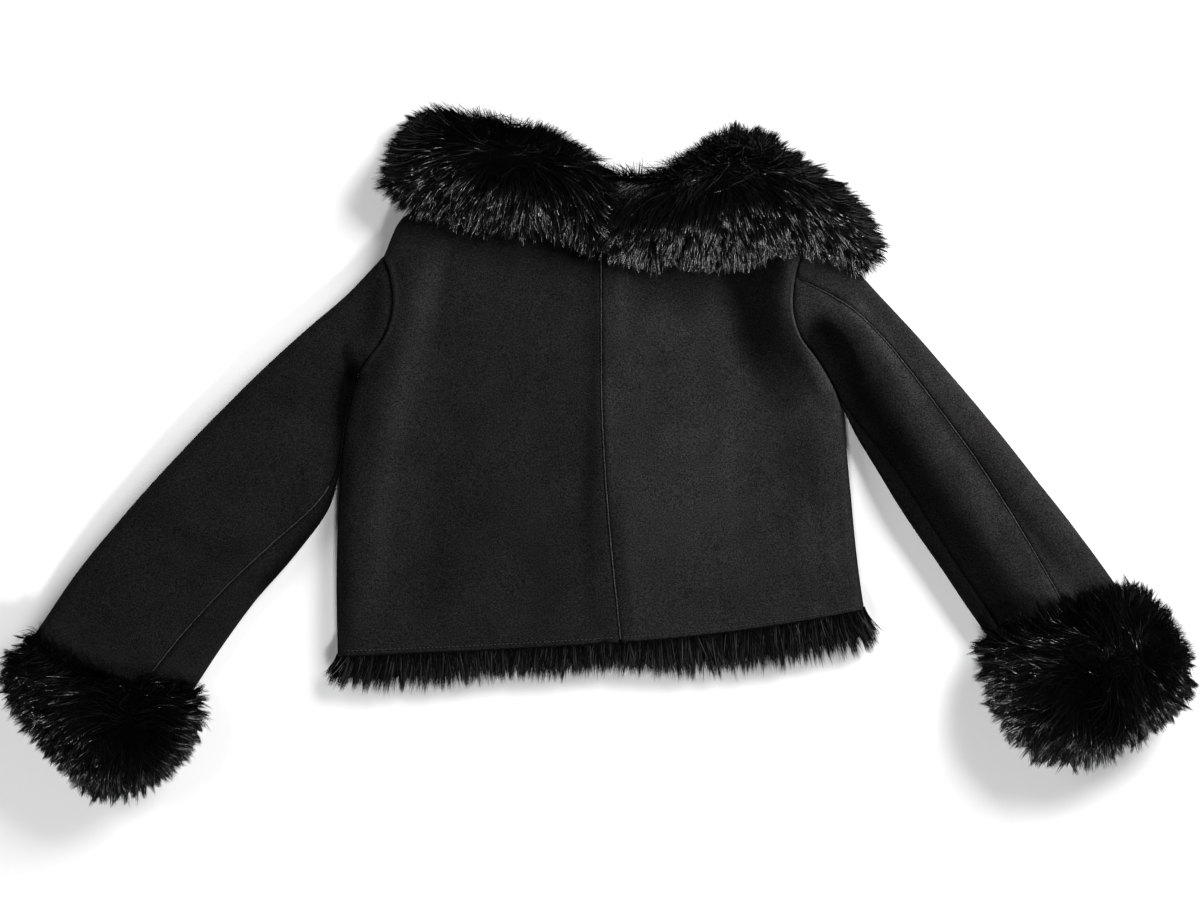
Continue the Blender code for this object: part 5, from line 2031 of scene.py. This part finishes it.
@dataclass
class HemWool:
    """The wool that hangs out below the hem, from the back's skin or the front's.

    Attributes:
        is_back: whether it is the back's.
        hairs: how many hairs.
        locks: how many locks they gather in.
        width: of a hair.
        steps: lengths that a hair is cut into.
        seed: picks its hairs.
    """

    is_back: bool
    hairs: int
    locks: int
    seed: int
    width: float = 0.68
    steps: int = 4

    def spot(self, across: np.ndarray) -> np.ndarray:
        """Plan points on the hem, from 0 at the left side to 1 at the right."""
        left, right = Half(Side.LEFT), Half(Side.RIGHT)
        from_side = 2 * np.minimum(across, 1 - across)
        none = np.zeros(across.shape)
        is_left = (across < 0.5)[:, None]
        return np.where(is_left, left.below_arm(from_side, none), right.below_arm(from_side, none))

    def build(self) -> list[bpy.types.Object]:
        """Builds a dark strip of underfur and the hairs over it.

        Returns:
            The objects.
        """
        name = "hem_fur_" + ("back" if self.is_back else "front")
        random = np.random.default_rng(self.seed)
        low, high = (11.6, 20.5) if self.is_back else (1.6, 10.4)
        strip = self.strip(name, low, high)
        lock_across = np.sort(random.uniform(0.0, 1.0, self.locks))
        lock_reach = random.uniform(*WOOL_REACH, self.locks)
        lock_lean = random.normal(0.0, 0.22, self.locks)
        lock_level = random.uniform(0.0, 1.0, self.locks)
        across = random.uniform(0.0, 1.0, self.hairs)
        owner = np.abs(across[:, None] - lock_across[None]).argmin(1)
        table = smooth(HEM_WOOL, across)
        level = np.clip(lock_level[owner] + random.normal(0.0, 0.22, self.hairs), 0.0, 1.0) ** 0.5
        share = random.uniform(0.0, 1.0, self.hairs)
        reach = table[:, 0] * lock_reach[owner] * (0.55 + 0.55 * share)
        t = np.linspace(0.0, 1.0, self.steps + 1)
        root = self.spot(across)
        lock_x = self.spot(lock_across[owner])[:, 0]
        tip_x = lock_x + 0.2 * (root[:, 0] - lock_x)
        gather = (0.8 * share)[:, None] * t ** 1.5
        x = root[:, :1] + gather * (tip_x - root[:, 0])[:, None]
        x = x + (table[:, 1:2] + (lock_lean[owner] * 17.0)[:, None]) * t ** 1.4
        x = x + (random.normal(0.0, 5.0, self.hairs) * (1.1 - share))[:, None] * t
        y = root[:, 1:] + 3.0 - (reach[:, None] + 3.0) * t
        top = low + (high - low) * level[:, None]
        deepest, lowest = (9.0, 6.0) if self.is_back else (1.0, LOWEST_HAIR)
        droop = deepest * level[:, None] * random.uniform(*WOOL_DROOP, self.hairs)[:, None]
        z = top - droop * t ** 2 + random.normal(0.0, 0.5, self.hairs)[:, None] * t
        side = np.minimum(across, 1 - across)[:, None] * HEM_WIDTH
        middle = BODY_HEIGHT / 2
        z = np.where(side < WOOL_TAPER, middle + (z - middle) * (0.35 + 0.65 * side / WOOL_TAPER), z)
        z = np.clip(z, lowest, None)
        coat = Coat(hairs=self.hairs, locks=self.locks, length=35.0, loft=1.0, width=self.width, pull=0.6,
                    beyond=0.0, stray=0.1, guard=0.24, steps=self.steps)
        pelt = Pelt(name + "_hair", coat, [], WOOL, self.seed + 1)
        hair = pelt.dress(np.stack([x, y, z], -1), np.argsort(random.uniform(0.0, 1.0, self.hairs)))
        return [strip] + hair

    def strip(self, name: str, low: float, high: float) -> bpy.types.Object:
        """The dark underfur behind the hairs.

        Args:
            name: the node that it replaces.
            low: height of its underside.
            high: height of its top.

        Returns:
            The object.
        """
        rows, columns = 7, 121
        across = np.linspace(0.0, 1.0, columns)
        table = smooth(HEM_WOOL, across)
        root = self.spot(across)
        t = np.linspace(0.0, 1.0, rows)[:, None]
        reach = (table[:, 0] * 0.55)[None, :] * t
        ragged = 1 + 0.12 * np.sin(across * 190.0) + 0.08 * np.sin(across * 71.0 + 1.0)
        x = root[None, :, 0] + table[None, :, 1] * 0.6 * t
        y = root[None, :, 1] - SEAM_GAP - reach * ragged[None, :]
        side = np.clip(np.minimum(across, 1 - across) * HEM_WIDTH / WOOL_TAPER, 0.15, 1.0)[None, :]
        middle = low + (high - low) * 0.3
        half = (high - low) * 0.26 * (1 - 0.3 * t - 0.6 * t ** 2) * side
        upper = np.stack([x, y, np.broadcast_to(middle + half, x.shape)], -1)
        lower = np.stack([x, y, np.broadcast_to(middle - half, x.shape)], -1)
        points = np.concatenate([upper.reshape(-1, 3), lower.reshape(-1, 3)])
        faces = wall_faces(rows, columns)
        obj = add_mesh(name + "_base", points, faces, UNDERFUR.material("underfur_" + name))
        dress_base(obj, name)
        return obj


# --- studio ---


class Softbox(NamedTuple):
    """A square light: its name, place and side in metres, watts, and whether glossy things mirror it."""

    name: str
    place: tuple[float, float, float]
    size: float
    power: float
    glints: bool


@dataclass
class Studio:
    """A white floor, soft lights and a camera straight above the coat.

    Attributes:
        distance: from the camera to the coat, in metres.
        lens: in millimetres.
        middle: the point that the camera looks at, in metres.
        floor_size: side of the floor, in metres.
        floor_level: how high it lies, just under the coat.
        world: strength of the light from all round.
        softboxes: the lights.
    """

    distance: float = 4.295
    lens: float = 135.0
    middle: tuple[float, float] = (0.0005, -0.0024)
    floor_size: float = 40.0
    floor_level: float = -0.2
    world: float = 0.045
    softboxes: tuple[Softbox, ...] = (
        Softbox("key", (1.35, 1.3, 0.95), 1.2, 100.0, False),
        Softbox("front", (0.1, -2.4, 1.5), 0.38, 52.0, True),
        Softbox("fill", (-2.4, 0.6, 1.8), 1.6, 34.0, False),
    )

    def build(self) -> None:
        """Sets up the floor, lights, world and camera."""
        self.floor()
        for box in self.softboxes:
            self.softbox(box)
        world = bpy.data.worlds.new("studio")
        world.use_nodes = True
        world.node_tree.nodes["Background"].inputs["Color"].default_value = (1.0, 1.0, 1.0, 1.0)
        world.node_tree.nodes["Background"].inputs["Strength"].default_value = self.world
        bpy.context.scene.world = world
        bpy.context.scene.view_settings.view_transform = "Standard"
        data = bpy.data.cameras.new("camera")
        data.lens = self.lens
        data.sensor_width = 36.0
        camera = bpy.data.objects.new("camera", data)
        camera.location = (self.middle[0], self.middle[1], self.distance)
        bpy.context.scene.collection.objects.link(camera)
        bpy.context.scene.camera = camera

    def floor(self) -> None:
        """Makes the floor, with its faint grain."""
        half, z = self.floor_size / 2 / MM, self.floor_level
        corners = np.array([(-half, -half, z), (half, -half, z), (half, half, z), (-half, half, z)])
        nodes = Nodes("floor")
        grain = nodes.ramp(nodes.noise(nodes.place(), 3.0, 2.0), [(0.3, 0.93), (0.7, 0.95)])
        nodes.surface(Base_Color=grain, Roughness=0.9, Specular_IOR_Level=0.1)
        add_mesh("floor", corners, [(0, 1, 2, 3)], nodes.material)

    def softbox(self, box: Softbox) -> None:
        """Adds a light that faces the coat."""
        data = bpy.data.lights.new(box.name, "AREA")
        data.shape = "SQUARE"
        data.size = box.size
        data.energy = box.power
        light = bpy.data.objects.new(box.name, data)
        light.location = box.place
        light.visible_glossy = box.glints
        light.rotation_euler = (-Vector(box.place)).to_track_quat("-Z", "Y").to_euler()
        bpy.context.scene.collection.objects.link(light)


# --- the coat ---

COLLAR_FUR = Coat(hairs=19000, locks=1500, length=56.0, loft=8.0, width=0.8, pull=0.6, beyond=12.0,
                  stray=0.18, fall=0.56, drape=0.5)
RIGHT_COLLAR_FUR = replace(COLLAR_FUR, hang=0.4, guard=0.5, uneven=0.5)
LEFT_CUFF_FUR = Coat(hairs=17000, locks=1200, length=46.0, loft=8.0, width=0.8, pull=0.6, beyond=12.0,
                     stray=0.3, fall=0.34, guard=0.26)
RIGHT_CUFF_FUR = replace(LEFT_CUFF_FUR, fall=0.42, guard=0.3)
LEFT_COLLAR_FLOWS = [
    Flow(-112, 300, 100, 0.5),
    Flow(-82, 291, 100, 0.5),
    Flow(-52, 281, 100, 0.5),
    Flow(-170, 280, 70, 0.9, (-1, -0.15)),
    Flow(-120, 215, 70, 1, (-0.5, -0.9)),
    Flow(-30, 215, 60, 0.9, (0.35, -0.9)),
    Flow(-10, 230, 35, 1.2, (0.05, -1)),
    Flow(-24, 272, 30, 0.6, (0.7, 0.1)),
]
RIGHT_COLLAR_FLOWS = [
    Flow(76, 262, 100, 0.5),
    Flow(112, 274, 100, 0.5),
    Flow(150, 270, 100, 0.5),
    Flow(60, 195, 70, 1, (-0.1, -1)),
    Flow(150, 200, 60, 0.8, (0.15, -1)),
    Flow(235, 200, 60, 1, (0.8, -0.55)),
    Flow(20, 228, 35, 1.2, (-0.05, -1)),
    Flow(28, 262, 28, 0.6, (-0.7, 0.15)),
]
LEFT_CUFF_FLOWS = [
    Flow(-452, -170, 260, 0.7),
    Flow(-447, -246, 48, 1.5),
    Flow(-500, -215, 50, 0.9, (-0.5, -0.85)),
    Flow(-540, -210, 50, 0.6, (-0.9, -0.3)),
]
RIGHT_CUFF_FLOWS = [
    Flow(462, -172, 60, 0.6),
    Flow(470, -206, 60, 0.7),
    Flow(478, -242, 65, 0.9),
    Flow(530, -188, 62, 1.2),
    Flow(405, -200, 50, 1.1, (-1, -0.15)),
    Flow(440, -270, 60, 0.6, (-0.3, -1)),
    Flow(528, -240, 40, 0.6, (-0.1, -1)),
]


SEAM_A, SEAM_B = 6, 7  # the columns of SleeveRow that place a sleeve's two seams
BACK_SPACING, FRONT_SPACING = 3.6, 7.0  # between the points of a panel
SLEEVE_SPACING, UNDER_SPACING = 4.4, 3.6  # and of a sleeve's pieces
EDGE_POINTS = 90  # of a seam's cut edge, along one panel


def suede_pieces() -> None:
    """Builds the backs, fronts, sleeves and the stitching at the hem."""
    left, right = Half(Side.LEFT), Half(Side.RIGHT)
    backs = [BodyPanel(left, True, BACK_SPACING, (0.27, 0.46), 0.105).build(),
             BodyPanel(right, True, BACK_SPACING, (0.26, 0.44), 0.093).build()]
    BodyPanel(left, False, FRONT_SPACING, (0.27, 0.44), 0.098).build()
    BodyPanel(right, False, FRONT_SPACING, (0.26, 0.42), 0.086).build()
    HemStitching().build(backs)
    left_top = SleevePiece(left, "sleeve_left_upper", (SEAM_B, 0.0), (SEAM_A, 2.0), SLEEVE_SPACING,
                           (0.32, 0.44), 0.103, (True, False))
    left_low = SleevePiece(left, "sleeve_left_under", (SEAM_A, 0.0), (SEAM_B, 0.0), SLEEVE_SPACING,
                           (0.08, 0.42), 0.020, (False, False))
    right_low = SleevePiece(right, "sleeve_right_under", (SEAM_A, 0.0), (SEAM_B, 0.0), UNDER_SPACING,
                            (0.09, 0.42), 0.028, (False, False))
    right_top = SleevePiece(right, "sleeve_right_upper", (SEAM_B, 0.0), (SEAM_A, 2.0), SLEEVE_SPACING,
                            (0.24, 0.44), 0.075, (False, False))
    left_shells = [left_top.build(), left_low.build()]
    right_shells = [right_low.build(), right_top.build()]
    one = np.ones(EDGE_POINTS)
    up = np.linspace(0.012, 1.0, EDGE_POINTS)
    centre = np.concatenate([left.below_arm(one, up), left.beside_arm(one, up, True)[1:80]])
    SeamEdge("centre_seam_edge", centre).build(backs)
    across = np.linspace(0.012, 0.999, EDGE_POINTS)
    hem = np.concatenate([left.below_arm(across, one * 0.0), right.below_arm(across, one * 0.0)[::-1]])
    hem[:, 1] += 0.5
    SeamEdge("hem_cut_edge", hem, 0.55, 0.0, CUT_EDGE).build(backs)
    SeamEdge("sleeve_left_seam_edge", left_top.seam(0.42, 0.99, SEAM_A)).build(left_shells)
    SeamEdge("sleeve_right_seam_edge", right_top.seam(0.02, 0.99, SEAM_A)).build(right_shells)


def fur_pieces() -> None:
    """Builds the collar, the cuffs and the wool at the hem."""
    left, right = Half(Side.LEFT), Half(Side.RIGHT)
    CollarHalf(left, LEFT_COLLAR, COLLAR_FUR, LEFT_COLLAR_FLOWS, 11).build()
    CollarHalf(right, RIGHT_COLLAR, RIGHT_COLLAR_FUR, RIGHT_COLLAR_FLOWS, 12).build()
    FurCuff(left, LEFT_CUFF, LEFT_CUFF_FUR, LEFT_CUFF_FLOWS, 13).build()
    FurCuff(right, RIGHT_CUFF, RIGHT_CUFF_FUR, RIGHT_CUFF_FLOWS, 14).build()
    HemWool(True, 14000, 420, 15).build()
    HemWool(False, 4500, 110, 16).build()


def main() -> None:
    """Builds the coat and the studio."""
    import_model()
    suede_pieces()
    fur_pieces()
    Studio().build()


if __name__ == "__main__":
    logging.basicConfig(level=logging.INFO, format="%(message)s")
    main()
